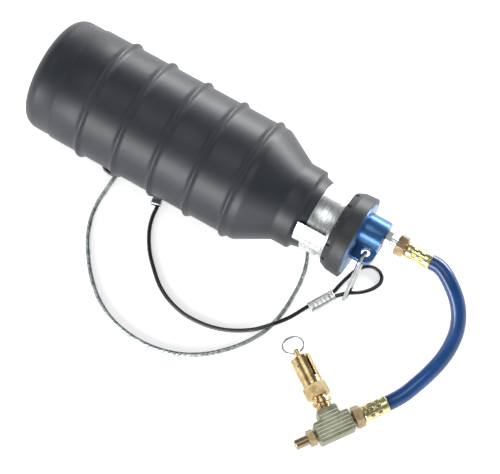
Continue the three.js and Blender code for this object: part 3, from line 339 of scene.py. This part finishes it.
# Cords: the air hose, the coated tow cable and the wire rope, from the same points as the solid model
HOSE_ROUTE = [
    (0.3256, 0.0113, 0.0), (0.331, 0.0113, 0.0), (0.337, 0.0096, -0.0005), (0.346, 0.0044, -0.0027),
    (0.355, -0.0024, -0.0069), (0.3616, -0.0103, -0.012), (0.3659, -0.02, -0.0181), (0.3672, -0.0312, -0.0245),
    (0.366, -0.0426, -0.0304), (0.3627, -0.0546, -0.0355), (0.3584, -0.0664, -0.0393), (0.3546, -0.0756, -0.0411),
    (0.34958, -0.08419, -0.0419), (0.34732, -0.08749, -0.0419),
]
CABLE_ROUTE = [
    (0.26195, -0.05251, -0.0472), (0.2672, -0.04351, -0.04645), (0.27245, -0.03451, -0.0457),
    (0.2759, -0.0309, -0.0449), (0.2793, -0.0277, -0.0443), (0.2836, -0.0246, -0.0449), (0.2878, -0.0212, -0.0459),
    (0.292, -0.0166, -0.0469), (0.2949, -0.0119, -0.0476), (0.2965, -0.0067, -0.048), (0.2954, -0.0025, -0.0481),
    (0.2922, 0.0006, -0.0481), (0.2874, 0.0016, -0.0481), (0.2824, 0.0004, -0.0481), (0.2782, -0.0031, -0.0481),
    (0.2752, -0.0084, -0.0481), (0.2729, -0.0156, -0.0479), (0.271, -0.024, -0.0471), (0.26935, -0.03269, -0.0457),
    (0.2641, -0.04169, -0.04645), (0.25885, -0.05069, -0.0472), (0.2514, -0.066, -0.0457),
    (0.244, -0.0766, -0.0442), (0.2356, -0.0856, -0.0453), (0.2285, -0.0908, -0.047), (0.2184, -0.0966, -0.048),
    (0.207, -0.101, -0.0483), (0.1945, -0.1034, -0.0483), (0.1805, -0.1036, -0.0483), (0.1665, -0.1003, -0.0483),
    (0.1542, -0.0942, -0.0483), (0.1428, -0.0848, -0.0483), (0.1334, -0.0753, -0.0483), (0.1264, -0.0654, -0.0483),
    (0.122, -0.0566, -0.0483), (0.1198, -0.0486, -0.0478), (0.11874, -0.04005, -0.0472),
    (0.11614, -0.0299, -0.0472), (0.11354, -0.01975, -0.0472), (0.1124, -0.0154, -0.0474),
    (0.1086, -0.0112, -0.0479), (0.1025, -0.0098, -0.0481), (0.096, -0.0128, -0.0475), (0.0905, -0.0184, -0.0464),
    (0.086, -0.0226, -0.045), (0.082, -0.0254, -0.0429), (0.078, -0.0268, -0.0414), (0.074, -0.0269, -0.0416),
    (0.0696, -0.0272, -0.0424), (0.066, -0.0292, -0.0438), (0.0652, -0.0322, -0.0456), (0.0678, -0.0349, -0.0472),
    (0.0725, -0.0357, -0.048), (0.077, -0.0348, -0.0483), (0.0812, -0.032, -0.0483), (0.085, -0.0285, -0.0483),
    (0.089, -0.0246, -0.0483), (0.093, -0.0206, -0.0483), (0.097, -0.0169, -0.0483), (0.1016, -0.0144, -0.0483),
    (0.106, -0.0142, -0.0481), (0.1089, -0.0166, -0.0475), (0.11006, -0.02065, -0.0472),
    (0.11266, -0.0308, -0.0472), (0.11526, -0.04095, -0.0472),
]
ROPE_ROUTE = [
    (0.23042, -0.00495, -0.0459), (0.234, -0.0096, -0.0466), (0.2382, -0.0161, -0.0475), (0.2423, -0.0273, -0.0481),
    (0.2444, -0.0393, -0.0481), (0.245, -0.0522, -0.0481), (0.2445, -0.0657, -0.0481), (0.2423, -0.0787, -0.0481),
    (0.2376, -0.0906, -0.0481), (0.23, -0.103, -0.0481), (0.2213, -0.1131, -0.0481), (0.2124, -0.1214, -0.0481),
    (0.2025, -0.1281, -0.0481), (0.1917, -0.1333, -0.0481), (0.1798, -0.1368, -0.0481), (0.1669, -0.1386, -0.0481),
    (0.151, -0.138, -0.0481), (0.1354, -0.1344, -0.0481), (0.1196, -0.1264, -0.0481), (0.1054, -0.1144, -0.0481),
    (0.0936, -0.1004, -0.0481), (0.0852, -0.0871, -0.0481), (0.0799, -0.074, -0.0481), (0.0776, -0.061, -0.0479),
    (0.0778, -0.0506, -0.0469), (0.0784, -0.042, -0.0452), (0.079, -0.0344, -0.0445), (0.0792, -0.0274, -0.0452),
    (0.0808, -0.0216, -0.047), (0.0844, -0.0175, -0.0481), (0.0886, -0.0128, -0.0481), (0.0936, -0.0058, -0.0481),
    (0.1, 0.003, -0.0481), (0.1085, 0.0116, -0.0481), (0.1188, 0.0195, -0.0481), (0.1315, 0.026, -0.0481),
    (0.1465, 0.0305, -0.0481), (0.1615, 0.0315, -0.0481), (0.1765, 0.03, -0.0481), (0.1915, 0.026, -0.0481),
    (0.205, 0.0196, -0.0479), (0.214, 0.0132, -0.0467), (0.21998, 0.00795, -0.0459),
]


def air_hose():
    line, length = catmull(HOSE_ROUTE, 0.0015)
    obj = piece("hose_skin", *tube(line, 0.0059, 40), HOSE, replaces=("air_hose",), slot="blue_hose")
    return obj, line, length


def tow_cable():
    line, length = catmull(CABLE_ROUTE, 0.0012)
    obj = piece("cable_skin", *tube(line, 0.0016, 16), COATING, replaces=("tow_cable",), slot="cable_coat")
    return obj, line, length


def wire_rope():
    line, length = catmull(ROPE_ROUTE, 0.0009)
    skin = tube(line, 0.0018, 24, lobes=6, depth=0.2, lay=0.024)
    obj = piece("rope_strands", *skin, ROPE, replaces=("wire_rope_ring",), slot="wire_rope", sharp=180)
    return obj, line, length


hose, hose_line, hose_length = air_hose()
cable, cable_line, cable_length = tow_cable()
rope, rope_line, rope_length = wire_rope()

# Places of the inlet, the tee and the relief valve
FACE_X = 287.4
INLET = Matrix.Translation((FACE_X, 11.3, 0))
TEE = Matrix.Translation((322.8, -123.3, GROUND * 1000 + 8.0)) @ Matrix.Rotation(math.radians(55.6), 4, "Z")
RELIEF = TEE @ Matrix.Rotation(math.radians(90), 4, "Z")


BODY_RADIUS = 46
RIB_FIRST = 54.2
RIB_SPACING = 31.3
RIB_COUNT = 5
RIB_RISE = 2.4
RIB_SPREAD = 2.2
RIB_STEPS = 12  # on each side of a rib's crest
RIB_STEP_SHARE = 5  # steps for one spread
RIB_REACH = 8
CAP_ROUND = 11
CONE_START = 186.5


def bladder():
    stations = [(0, 0), (0, 8), (0, 12), (1.2, 26.1)]
    for degree in range(0, 91, 9):
        angle = math.radians(degree)
        stations.append((3 + CAP_ROUND * (1 - math.cos(angle)), 34.2 + CAP_ROUND * math.sin(angle)))
    stations += [(27.6, 45.2), (27.9, 45.4), (28.1, 45.9), (28.4, BODY_RADIUS)]
    for rib in range(RIB_COUNT):
        crest = RIB_FIRST + rib * RIB_SPACING
        stations.append((crest - RIB_REACH, BODY_RADIUS))
        for k in range(-RIB_STEPS, RIB_STEPS + 1):
            share = k / RIB_STEP_SHARE
            stations.append((crest + share * RIB_SPREAD, BODY_RADIUS + RIB_RISE * math.exp(-share * share)))
        stations.append((crest + RIB_REACH, BODY_RADIUS))
    stations = [station for station in stations if station[0] < CONE_START]
    shoulder = [(186.6, BODY_RADIUS), (187.6, 45.93), (188.8, 45.5)]
    cone_end = [(212.6, 32.6), (213.8, 32.1), (215.2, 32), (226.0, 32), (226.8, 31.6), (228.0, 29.2), (228.6, 28.7)]
    neck = dense([(228.3, 28.8), (234.6, 27.2)], 2)[2:]
    under_band = [(234.6, 26), (256.7, 26), (256.7, 21), (240, 21)]
    stations += shoulder + cone_end + neck + under_band
    skin = turned(stations, 160)
    return piece("bladder_skin", *skin, BLADDER, replaces=("bladder",), slot="bladder_rubber", sharp=40)


def band():
    stations = [(234.9, 26.3), (234.9, 26.9), (235.1, 27), (253.8, 27), (254.0, 26.9), (254.0, 26.3)]
    return piece("band", *turned(stations, 144, loop=True), BRUSHED, replaces=("clamp_band",), slot="satin_steel")


def arc_plate(x0, x1, r0, r1, middle, width):
    """A curved plate round the axis. middle and width are angles in radians, from the top towards -Y."""
    points, faces, count = [], [], 12
    for k in range(count + 1):
        a = -(middle + width * (k / count - 0.5))
        for x, r in ((x0, r0), (x1, r0), (x1, r1), (x0, r1)):
            points.append((x, r * math.sin(a), r * math.cos(a)))
    for k in range(count):
        for c in range(4):
            n = (c + 1) % 4
            faces.append((4 * k + c, 4 * k + n, 4 * k + 4 + n, 4 * k + 4 + c))
    faces.append((3, 2, 1, 0))
    faces.append(tuple(4 * count + c for c in range(4)))
    return [tuple(v) for v in placed(points, None)], faces


def buckle():
    middle = math.radians(53)
    plate = 0.5  # width as an angle
    parts = [
        arc_plate(229.5, 252.4, 29.1, 30.4, middle, plate),
        arc_plate(229.8, 252.1, 29.3, 30.6, middle, plate * 0.96),
        arc_plate(235.0, 252.4, 27.3, 29.9, middle, plate * 0.86),
    ]
    for k in range(3):
        parts.append(arc_plate(230.4, 251.4, 29.9, 31.1, middle + (k - 1) * plate / 4, 0.04))
    return piece("buckle", *join(*parts), BRUSHED, replaces=("clamp_buckle",), slot="satin_steel")


NOTCH_COUNT = 12
NOTCH_HALF = 1.7
NOTCH_FLOOR = 28.8
NOTCH_END = 257.4


def bumper():
    stations = [
        (254.2, 26.3), (254.2, 28.9), (254.6, 29.4), (259.7, 31.6), (260.4, 31.9), (269.9, 32.6), (270.3, 32.4),
        (270.5, 31.9), (270.5, 29.3), (270.3, 29.1), (264.45, 29.1), (264.45, 26.3),
    ]

    def notched(x, r, a):
        if x > NOTCH_END or r < 28.2:
            return r
        place = (a / (2 * math.pi) * NOTCH_COUNT - 0.5) % 1.0
        off = min(place, 1 - place) * 2 * math.pi / NOTCH_COUNT * 30
        return min(r, NOTCH_FLOOR) if off < NOTCH_HALF else r

    line = dense(stations[:6], 0.6) + stations[6:]
    ring = turned(line, 240, notched, loop=True)
    return piece("bumper", *ring, RUBBER, replaces=("bumper_ring",), slot="black_rubber")


FLANGE_FACE = 271.2
BOSS_RADIUS = 12.6
BOSS_Y = 10.0
LUG_HOLE = (279.8, -4.8)
LUG_HOLE_RADIUS = 3.5
LUG_BEVEL = 0.4
LUG_LOW, LUG_HIGH = -10.5, -5.5
LUG_END_X, LUG_END_Y, LUG_ROUND = 280.4, -6, 7


def fitting():
    spigot = [(228.8, 0), (228.8, 19.7), (229.8, 20.7), (257.05, 20.7), (257.05, 26), (264.75, 26)]
    flange = [(264.75, 28.6), (265, 28.8), (270.4, 28.8), (271.0, 28.5), (FLANGE_FACE, 28.0), (FLANGE_FACE, 0)]
    body = turned(spigot + flange, 120)
    socket = [(FACE_X, 4), (284, 3.4), (284, 0)]
    rim = [(270, 0), (270, BOSS_RADIUS), (286.6, BOSS_RADIUS), (287.2, 12.4), (FACE_X, 11.9)]
    boss = turned(rim + socket, 72, centre=(BOSS_Y, 0))
    return piece("fitting", *join(body, boss, lug()), BLUE, replaces=("end_fitting",), slot="blue_metal")


def lug():
    """A flat tab with a round hole, drawn as rays from the hole's middle to the tab's outline."""
    hole_x, hole_y = LUG_HOLE
    count = 72
    outline = [(269.5, 12), (269.5, -13), (LUG_END_X, LUG_END_Y - LUG_ROUND)]
    for k in range(1, 8):
        a = k * math.pi / 16
        outline.append((LUG_END_X + LUG_ROUND * math.sin(a), LUG_END_Y - LUG_ROUND * math.cos(a)))
    outline += [(FACE_X, LUG_END_Y), (FACE_X, 12)]

    def reach(angle):
        dx, dy, best = math.cos(angle), math.sin(angle), math.inf
        for (ax, ay), (bx, by) in zip(outline, outline[1:] + outline[:1]):
            ex, ey = bx - ax, by - ay
            cross = dx * ey - dy * ex
            if abs(cross) < 1e-9:
                continue
            t = ((ax - hole_x) * ey - (ay - hole_y) * ex) / cross
            u = ((ax - hole_x) * dy - (ay - hole_y) * dx) / cross
            if t > 0 and -1e-6 <= u <= 1 + 1e-6:
                best = min(best, t)
        return best

    corners = [math.atan2(y - hole_y, x - hole_x) % (2 * math.pi) for x, y in outline]
    angles = sorted({round(a, 5) for a in [2 * math.pi * k / count for k in range(count)] + corners})
    points, faces = [], []
    bevel_z = LUG_HIGH - LUG_BEVEL
    for a in angles:
        t = reach(a)
        section = [(LUG_HOLE_RADIUS, LUG_LOW), (t, LUG_LOW), (t, bevel_z), (t - LUG_BEVEL, LUG_HIGH),
                   (LUG_HOLE_RADIUS + LUG_BEVEL, LUG_HIGH), (LUG_HOLE_RADIUS, bevel_z)]
        points += [(hole_x + r * math.cos(a), hole_y + r * math.sin(a), z) for r, z in section]
    total = len(angles)
    for k in range(total):
        n = (k + 1) % total
        for c in range(6):
            d = (c + 1) % 6
            faces.append((6 * k + c, 6 * k + d, 6 * n + d, 6 * n + c))
    return [tuple(v) for v in placed(points, None)], faces


def nipple():
    parts = [hex_bar(0.3, 4.6, 12, INLET), turned([(4, 3.3), (9.7, 3.3)], 40, place=INLET)]
    return piece("nipple", *join(*parts), STEEL, replaces=("inlet_nipple",), slot="satin_steel")


THREAD_PITCH = 1.1
THREAD_DEPTH = 0.3


def thread(start, end, radius, place):
    root = radius - THREAD_DEPTH
    stations = [(start, 0), (start, root)]
    x = start
    while x + THREAD_PITCH < end:
        stations += [(x + THREAD_PITCH * 0.35, radius), (x + THREAD_PITCH * 0.65, radius), (x + THREAD_PITCH, root)]
        x += THREAD_PITCH
    stations += [(end, root), (end, 0)]
    return turned(stations, 48, place=place)


def nut():
    return piece("nut", *hex_bar(9.9, 16.9, 15, INLET), NUT, replaces=("upper_nut",), slot="nut_brass")


FERRULE_LENGTH = 20.4
DIMPLE_COUNT = 8
DIMPLE_DEPTH = 0.75
DIMPLE_ROWS = (-3, 3)
DIMPLE_HALF_LENGTH, DIMPLE_HALF_WIDTH = 1.9, 1.35
DIMPLE_SKIN = 6.3


def ferrule(name, start, place, node):
    """A crimped sleeve with two rows of pressed dimples, whose floors carry painted shade: a darker second material
    stands in for the shade in the recesses.
    """
    end = start + FERRULE_LENGTH
    near = [(start, 3.5), (start, 5.3), (start + 0.5, 6.0), (start + 1.8, 6.6), (start + 3.4, 6.55)]
    waist = [(start + 4.8, DIMPLE_SKIN), (end - 4.6, DIMPLE_SKIN)]
    far = [(end - 2.4, 6.5), (end - 0.9, 6.9), (end - 0.3, 6.8), (end, 6.4), (end, 3.5)]
    stations = dense(near + waist + far, 0.25)
    middle = (start + end) / 2

    def dimple(x, r, a):
        if r < 6:
            return r
        across = abs((a / (2 * math.pi) * DIMPLE_COUNT + 0.5) % 1.0 - 0.5) * 2 * math.pi / DIMPLE_COUNT * DIMPLE_SKIN
        press = 0.0
        for row in DIMPLE_ROWS:
            along = abs(x - middle - row)
            inside = min(max((DIMPLE_HALF_LENGTH - along) / 0.5, 0), 1)
            inside *= min(max((DIMPLE_HALF_WIDTH - across) / 0.4, 0), 1)
            press = max(press, inside * inside * (3 - 2 * inside))
        return r - DIMPLE_DEPTH * press

    skin = turned(stations, 160, dimple, place=place)
    made = piece(name, *skin, PALE, replaces=(node,), slot="pale_brass", sharp=50)
    # The dimple floors get the painted-shade material.
    made.data.materials.append(DIMPLE_SHADE)
    back = place.inverted()
    for face in made.data.polygons:
        x, y, z = back @ (face.center / MM)
        if 4.5 < math.hypot(y, z) < 5.85 and abs(x - middle) < 6:
            face.material_index = 1
    return made


TEE_HALF = 8
TEE_RUN = 14.2
TEE_BRANCH = 15.3
TEE_DEPTH = 7.7
TEE_CORNER = 1.8
TEE_EDGE = ((0, 0.7), (0.25, 0.2), (0.8, 0))  # how far the outline draws in at each distance from the flat
RIDGE_COUNT = 7
RIDGE_PITCH = 2.7
RIDGE_HALF = 0.28
RIDGE_RISE = 0.3


def tee():
    h, run, branch = TEE_HALF, TEE_RUN, TEE_BRANCH
    outline = [(-run, -h), (run, -h), (run, h), (h, h), (h, branch), (-h, branch), (-h, h), (-run, h)]
    loop = []
    for i, corner in enumerate(outline):
        before, here, after = (np.array(p, float) for p in (outline[i - 1], corner, outline[(i + 1) % 8]))
        a = here + (before - here) / np.linalg.norm(before - here) * TEE_CORNER
        b = here + (after - here) / np.linalg.norm(after - here) * TEE_CORNER
        for k in range(5):
            t = k / 4
            loop.append(tuple((1 - t) ** 2 * a + 2 * t * (1 - t) * here + t * t * b))
    points = []
    lower = [(-TEE_DEPTH + up, inset) for up, inset in TEE_EDGE]
    upper = [(TEE_DEPTH - down, inset) for down, inset in reversed(TEE_EDGE)]
    for z, inset in lower + upper:
        for x, y in loop:
            out_x = math.copysign(inset, x) if abs(x) > 7.5 else 0
            out_y = math.copysign(inset, y - 2) if abs(y) > 7.5 else 0
            points.append((x - out_x, y - out_y, z))
    n = len(loop)
    faces = []
    for i in range(5):
        low, high = i * n, (i + 1) * n
        faces += [(low + k, low + (k + 1) % n, high + (k + 1) % n, high + k) for k in range(n)]
    faces.append(tuple(reversed(range(n))))
    faces.append(tuple(5 * n + k for k in range(n)))
    parts = [([tuple(v) for v in placed(points, TEE)], faces)]
    for z in (TEE_DEPTH, -TEE_DEPTH):
        for ridge in range(RIDGE_COUNT):
            y = (ridge - 2) * RIDGE_PITCH
            reach = 13.2 if y < 7.2 else 7.0
            low = (-reach, y - RIDGE_HALF, z - RIDGE_RISE)
            high = (reach, y + RIDGE_HALF, z + RIDGE_RISE)
            parts.append(box_part(low, high, TEE))
    made = piece("tee", *join(*parts), CAST, replaces=("filling_tee",), slot="cast_tee")
    # The ridge boxes get the painted-highlight material.
    made.data.materials.append(RIDGE_HIGHLIGHT)
    for face in made.data.polygons:
        if face.index >= len(faces):
            face.material_index = 1
    return made


def tail():
    spigot = turned([(22, 3.2), (24, 3.2)], 40, place=TEE)
    parts = [thread(13.9, 16.4, 5.3, TEE), hex_bar(16.2, 22.4, 15, TEE), spigot]
    return piece("tail", *join(*parts), NUT, replaces=("lower_hose_tail",), slot="nut_brass")


def fill_valve():
    stem = turned([(-31.6, 2.5), (-31.6, 3.5), (-31.3, 3.75), (-21, 3.75)], 48, place=TEE)
    parts = [hex_bar(-21.2, -16.2, 11, TEE), thread(-16.4, -13.8, 4.9, TEE), stem,
             turned([(-31.6, 2.5), (-28, 2.5)], 32, place=TEE)]
    made = piece("fill_valve", *join(*parts), NUT, replaces=("fill_valve_body",), slot="nut_brass")
    core = turned([(-31.1, 0), (-31.1, 0.6), (-30.1, 0.6), (-30.1, 2.2), (-23.5, 2.2), (-23.5, 0)], 32, place=TEE)
    piece("fill_core", *core, NUT, replaces=("fill_valve_core",), slot="nut_brass")
    return made


def relief_base():
    waist, ring = 5.6, 7.4
    stations = [(15.6, 0), (15.6, waist), (19.6, waist), (20.1, ring), (22.6, ring), (23.1, waist), (26, waist)]
    neck = turned([*stations, (26, 0)], 72, place=RELIEF)
    parts = [neck, hex_bar(25.5, 35.5, 16, RELIEF), thread(13.9, 18.6, 5.9, RELIEF)]
    return piece("valve_base", *join(*parts), VALVE, replaces=("relief_base",), slot="valve_brass")


def slotted(xs, outer, inner, sides, slots):
    """A tube whose cells for which slots(i, k) is true are left open."""
    points = []
    for radius in (outer, inner):
        for x in xs:
            for k in range(sides):
                a = 2 * math.pi * k / sides
                points.append((x, radius * math.sin(a), radius * math.cos(a)))
    rows = len(xs)

    def at(layer, i, k):
        return (layer * rows + i) * sides + k % sides

    def solid(i, k):
        return 0 <= i < rows - 1 and not slots(i, k % sides)

    faces = []
    for i in range(rows - 1):
        for k in range(sides):
            if not solid(i, k):
                continue
            faces.append((at(0, i, k), at(0, i + 1, k), at(0, i + 1, k + 1), at(0, i, k + 1)))
            faces.append((at(1, i, k + 1), at(1, i + 1, k + 1), at(1, i + 1, k), at(1, i, k)))
            if not solid(i - 1, k):
                faces.append((at(0, i, k + 1), at(1, i, k + 1), at(1, i, k), at(0, i, k)))
            if not solid(i + 1, k):
                faces.append((at(0, i + 1, k), at(1, i + 1, k), at(1, i + 1, k + 1), at(0, i + 1, k + 1)))
            if not solid(i, k - 1):
                faces.append((at(0, i, k), at(1, i, k), at(1, i + 1, k), at(0, i + 1, k)))
            if not solid(i, k + 1):
                faces.append((at(0, i + 1, k + 1), at(1, i + 1, k + 1), at(1, i, k + 1), at(0, i, k + 1)))
    return [tuple(v) for v in placed(points, RELIEF)], faces


SLOT_TURN = 89  # degrees from the top to the first of the three slots
SLOT_HALF = 8.2
SLOT_FIRST_ROW = 3
VENT_TURN = 38
VENT_HALF = 6
VENT_ROW = 4


def relief_bonnet():
    """Three tongues with slots between them, and a small vent hole."""
    xs = [35.8, 37.4, 38.2, 40.8, 51.2, 52.4, 58.8]
    sides = 144

    def slots(i, k):
        degree = 360 * (k + 0.5) / sides
        off = min((degree - SLOT_TURN) % 120, (SLOT_TURN - degree) % 120)
        if i >= SLOT_FIRST_ROW and off < SLOT_HALF:
            return True
        return i == VENT_ROW and abs(degree - VENT_TURN) < VENT_HALF

    shell = slotted(xs, 7.7, 5.5, sides, slots)
    return piece("bonnet", *shell, VALVE, replaces=("relief_bonnet",), slot="valve_brass")


COIL_RADIUS = 3.4
COIL_TURNS = 5
COIL_STEPS = 24
RING_RADIUS = 8.1
RING_HOLE = 63.0


def valve_parts():
    disc = turned([(54.6, 1.9), (54.6, 5.2), (57.4, 5.2), (57.6, 5.0), (57.6, 1.9)], 48, loop=True, place=RELIEF)
    piece("adjuster", *disc, VALVE, replaces=("relief_adjuster",), slot="valve_brass")
    start, end = 44.35, 53.85
    coil = []
    for k in range(COIL_TURNS * COIL_STEPS + 1):
        share = k / (COIL_TURNS * COIL_STEPS)
        a = 2 * math.pi * COIL_TURNS * share
        coil.append((start + (end - start) * share, COIL_RADIUS * math.cos(a), COIL_RADIUS * math.sin(a)))
    wire = tube(placed(coil, RELIEF), 0.00045, 10)
    spring = piece("spring", *wire, WIRE, body=None, replaces=("relief_spring",), slot="steel_wire")
    low, high = (tuple(float(v) for v in p) for p in placed([(start, 0, 0), (end, 0, 0)], RELIEF))
    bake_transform(spring)
    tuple(low)
    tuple(high)
    seal = turned([(39.8, 0), (39.8, 4.2), (41.3, 4.2), (41.3, 0)], 40, place=RELIEF)
    piece("seal", *seal, RUBBER, body="stem", replaces=("relief_seal",), slot="black_rubber")
    rod = turned([(41.6, 0), (41.6, 4.6), (43.6, 4.6), (43.6, 1.6), (61.2, 1.6), (61.2, 0)], 40, place=RELIEF)
    piece("stem", *rod, VALVE, body="stem", replaces=("relief_stem",), slot="valve_brass")
    cap = [(59.3, 1.9), (59.3, 2.2), (59.5, 2.4), (64.9, 2.4), (65.5, 2.0), (65.7, 1.4), (65.7, 0)]
    knob = turned(cap, 40, place=RELIEF)
    piece("knob", *knob, VALVE, body="stem", replaces=("relief_knob",), slot="valve_brass")
    drop = math.asin(6.95 / 16.2)
    ring = []
    for k in range(96):
        a = 2 * math.pi * k / 96
        along = RING_RADIUS - RING_RADIUS * math.cos(a)
        ring.append((RING_HOLE + along * math.cos(drop), RING_RADIUS * math.sin(a), -along * math.sin(drop)))
    wire = tube(placed(ring, RELIEF), 0.00075, 14, closed=True)
    piece("finger_ring", *wire, WIRE, body="ring", replaces=("pull_ring",), slot="steel_wire")


LINK_LEAN = 27.4
LINK_HALF = 6
LINK_STRAIGHT = 38.5
LINK_STEPS = 24


def link():
    """A long closed link that hangs through the lug's hole and leans down to the ground."""
    arc = [math.pi * k / LINK_STEPS for k in range(LINK_STEPS + 1)]
    straight = [LINK_STRAIGHT * k / LINK_STEPS for k in range(1, LINK_STEPS)]
    line = [(LINK_HALF * math.cos(a), -LINK_HALF * math.sin(a)) for a in arc]
    line += [(-LINK_HALF, v) for v in straight]
    line += [(-LINK_HALF * math.cos(a), LINK_STRAIGHT + LINK_HALF * math.sin(a)) for a in arc]
    line += [(LINK_HALF, v) for v in reversed(straight)]
    sine, cosine = math.sin(math.radians(LINK_LEAN)), math.cos(math.radians(LINK_LEAN))
    points = [(LUG_HOLE[0], -10.8 + cosine * u - sine * v, -8 - sine * u - cosine * v) for u, v in line]
    skin = tube(placed(points, None), 0.0015, 20, closed=True)
    piece("link", *skin, WIRE, replaces=("tow_link",), slot="steel_wire")


SLEEVE_SIDES = 48
SLEEVE_SHIFT = 1.8  # from the sleeve's middle line to the middle of each strand
CRIMP_COUNT = 5
CRIMP_PITCH = 3.4


def sleeve(name, start, end, node):
    """A flat oval sleeve round two strands, open at both ends."""
    first, last = np.array(start), np.array(end)
    along = (last - first) / np.linalg.norm(last - first)
    side = np.cross(along, (0, 0, 1.0))
    side /= np.linalg.norm(side)
    up = np.cross(side, along)
    profile = [(0.0, 1.9), (0.0, 2.45), (0.3, 2.7)]
    for k in range(CRIMP_COUNT):
        at = 3.6 + CRIMP_PITCH * k
        profile += [(at, 2.72), (at + 0.6, 2.6), (at + 1.2, 2.72)]
    profile += [(20.7, 2.7), (21.0, 2.45), (21.0, 1.9)]
    vertices = []
    for x, radius in profile:
        for k in range(SLEEVE_SIDES):
            t = 2 * math.pi * k / SLEEVE_SIDES
            shift = math.copysign(SLEEVE_SHIFT, math.cos(t)) + radius * math.cos(t)
            vertices.append(tuple((first + along * x + side * shift + up * radius * math.sin(t)) * MM))
    faces = []
    for i in range(len(profile)):
        low, high = i * SLEEVE_SIDES, (i + 1) % len(profile) * SLEEVE_SIDES
        for k in range(SLEEVE_SIDES):
            n = (k + 1) % SLEEVE_SIDES
            faces.append((low + k, low + n, high + n, high + k))
    return piece(name, vertices, faces, STEEL, replaces=(node,), slot="satin_steel")


def rope_ferrule():
    place = Matrix.Translation((225.2, 1.5, 4 - 49.9)) @ Matrix.Rotation(math.radians(-51), 4, "Z")
    body = turned([(-8, 0), (-8, 3.4), (-7.4, 4), (7.4, 4), (8, 3.4), (8, 0)], 48, place=place)
    return piece("rope_sleeve", *body, STEEL, replaces=("wire_rope_ferrule",), slot="satin_steel")


bladder()
band()
buckle()
bumper()
fitting()
nipple()
nut()
ferrule("ferrule_upper", 17.5, INLET, "upper_ferrule")
ferrule("ferrule_lower", 22.7, TEE, "lower_ferrule")
tee()
tail()
fill_valve()
relief_base()
relief_bonnet()
valve_parts()
link()
sleeve("sleeve_front", (260.4, -51.6, -47.2), (270.9, -33.6, -45.7), "cable_sleeve_front")
sleeve("sleeve_hidden", (117, -40.5, -47.2), (111.8, -20.2, -47.2), "cable_sleeve_hidden")
rope_ferrule()

hidden_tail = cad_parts["upper_hose_tail"]
hidden_tail.data.materials.clear()
hidden_tail.data.materials.append(NUT)


def route(line, step):
    return [tuple(float(v) for v in p) for p in line[::step]] + [tuple(float(v) for v in line[-1])]


tuple(hose_line[0])
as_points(route(hose_line, 2))
tuple(cable_line[0])
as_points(route(cable_line, 2))
tuple(rope_line[0])
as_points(route(rope_line, 2))


# Ground, sky and lights
def ground():
    size = 4.0
    mesh = bpy.data.meshes.new("ground")
    mesh.from_pydata([(-size, -size, 0), (size, -size, 0), (size, size, 0), (-size, size, 0)], [], [(0, 1, 2, 3)])
    made = bpy.data.materials.new("ground")
    made.use_nodes = True
    nodes, links = made.node_tree.nodes, made.node_tree.links
    shader = nodes["Principled BSDF"]
    rays = nodes.new("ShaderNodeLightPath")
    seen = rays.outputs["Is Camera Ray"]
    for kind in ("Is Glossy Ray", "Is Transmission Ray"):
        either = nodes.new("ShaderNodeMath")
        either.operation = "MAXIMUM"
        links.new(seen, either.inputs[0])
        links.new(rays.outputs[kind], either.inputs[1])
        seen = either.outputs["Value"]
    mix = nodes.new("ShaderNodeMix")
    mix.data_type = "RGBA"
    mix.inputs[6].default_value = (0.62, 0.62, 0.62, 1)
    mix.inputs[7].default_value = (1, 1, 1, 1)
    links.new(seen, mix.inputs[0])
    links.new(mix.outputs[2], shader.inputs["Base Color"])
    lift = nodes.new("ShaderNodeMath")
    lift.operation = "MULTIPLY"
    lift.inputs[1].default_value = 0.42
    links.new(seen, lift.inputs[0])
    links.new(lift.outputs["Value"], shader.inputs["Emission Strength"])
    shader.inputs["Emission Color"].default_value = (1, 1, 1, 1)
    shader.inputs["Roughness"].default_value = 0.9
    shader.inputs["Specular IOR Level"].default_value = 0.0
    mesh.materials.append(made)
    obj = bpy.data.objects.new("ground", mesh)
    obj.location = (0.2, 0, GROUND - 0.0002)
    bpy.context.scene.collection.objects.link(obj)


def sky():
    world = bpy.data.worlds.new("studio")
    bpy.context.scene.world = world
    world.use_nodes = True
    nodes, links = world.node_tree.nodes, world.node_tree.links
    background = nodes["Background"]
    place = nodes.new("ShaderNodeTexCoord")
    split = nodes.new("ShaderNodeSeparateXYZ")
    links.new(place.outputs["Generated"], split.inputs["Vector"])
    ramp = nodes.new("ShaderNodeValToRGB")
    stops = ramp.color_ramp.elements
    stops[0].position, stops[0].color = 0.0, (1, 1, 1, 1)
    stops[1].position, stops[1].color = 1.0, (0.13, 0.135, 0.15, 1)
    for at, value in ((0.2, 1.0), (0.42, 0.4), (0.68, 0.14)):
        stop = stops.new(at)
        stop.color = (value, value, value * 1.02, 1)
    links.new(split.outputs["Z"], ramp.inputs["Fac"])
    links.new(ramp.outputs["Color"], background.inputs["Color"])
    background.inputs["Strength"].default_value = 1.4


def softbox(name, at, aim, size, power):
    data = bpy.data.lights.new(name, "AREA")
    data.shape = "RECTANGLE"
    data.size, data.size_y = size
    data.energy = power
    obj = bpy.data.objects.new(name, data)
    obj.location = at
    obj.rotation_euler = (Vector(aim) - Vector(at)).to_track_quat("-Z", "Y").to_euler()
    bpy.context.scene.collection.objects.link(obj)


ground()
sky()
softbox("near_side", (0.1, -1.1, 0.3), (0.18, -0.05, -0.02), (1.2, 0.4), 14)
softbox("far_side", (0.3, 1.1, 0.3), (0.18, 0.0, -0.02), (1.2, 0.4), 22)
softbox("top", (0.0, -0.2, 1.7), (0.2, 0, 0), (1.0, 1.0), 6)
scene = bpy.context.scene
scene.view_settings.view_transform = "Standard"
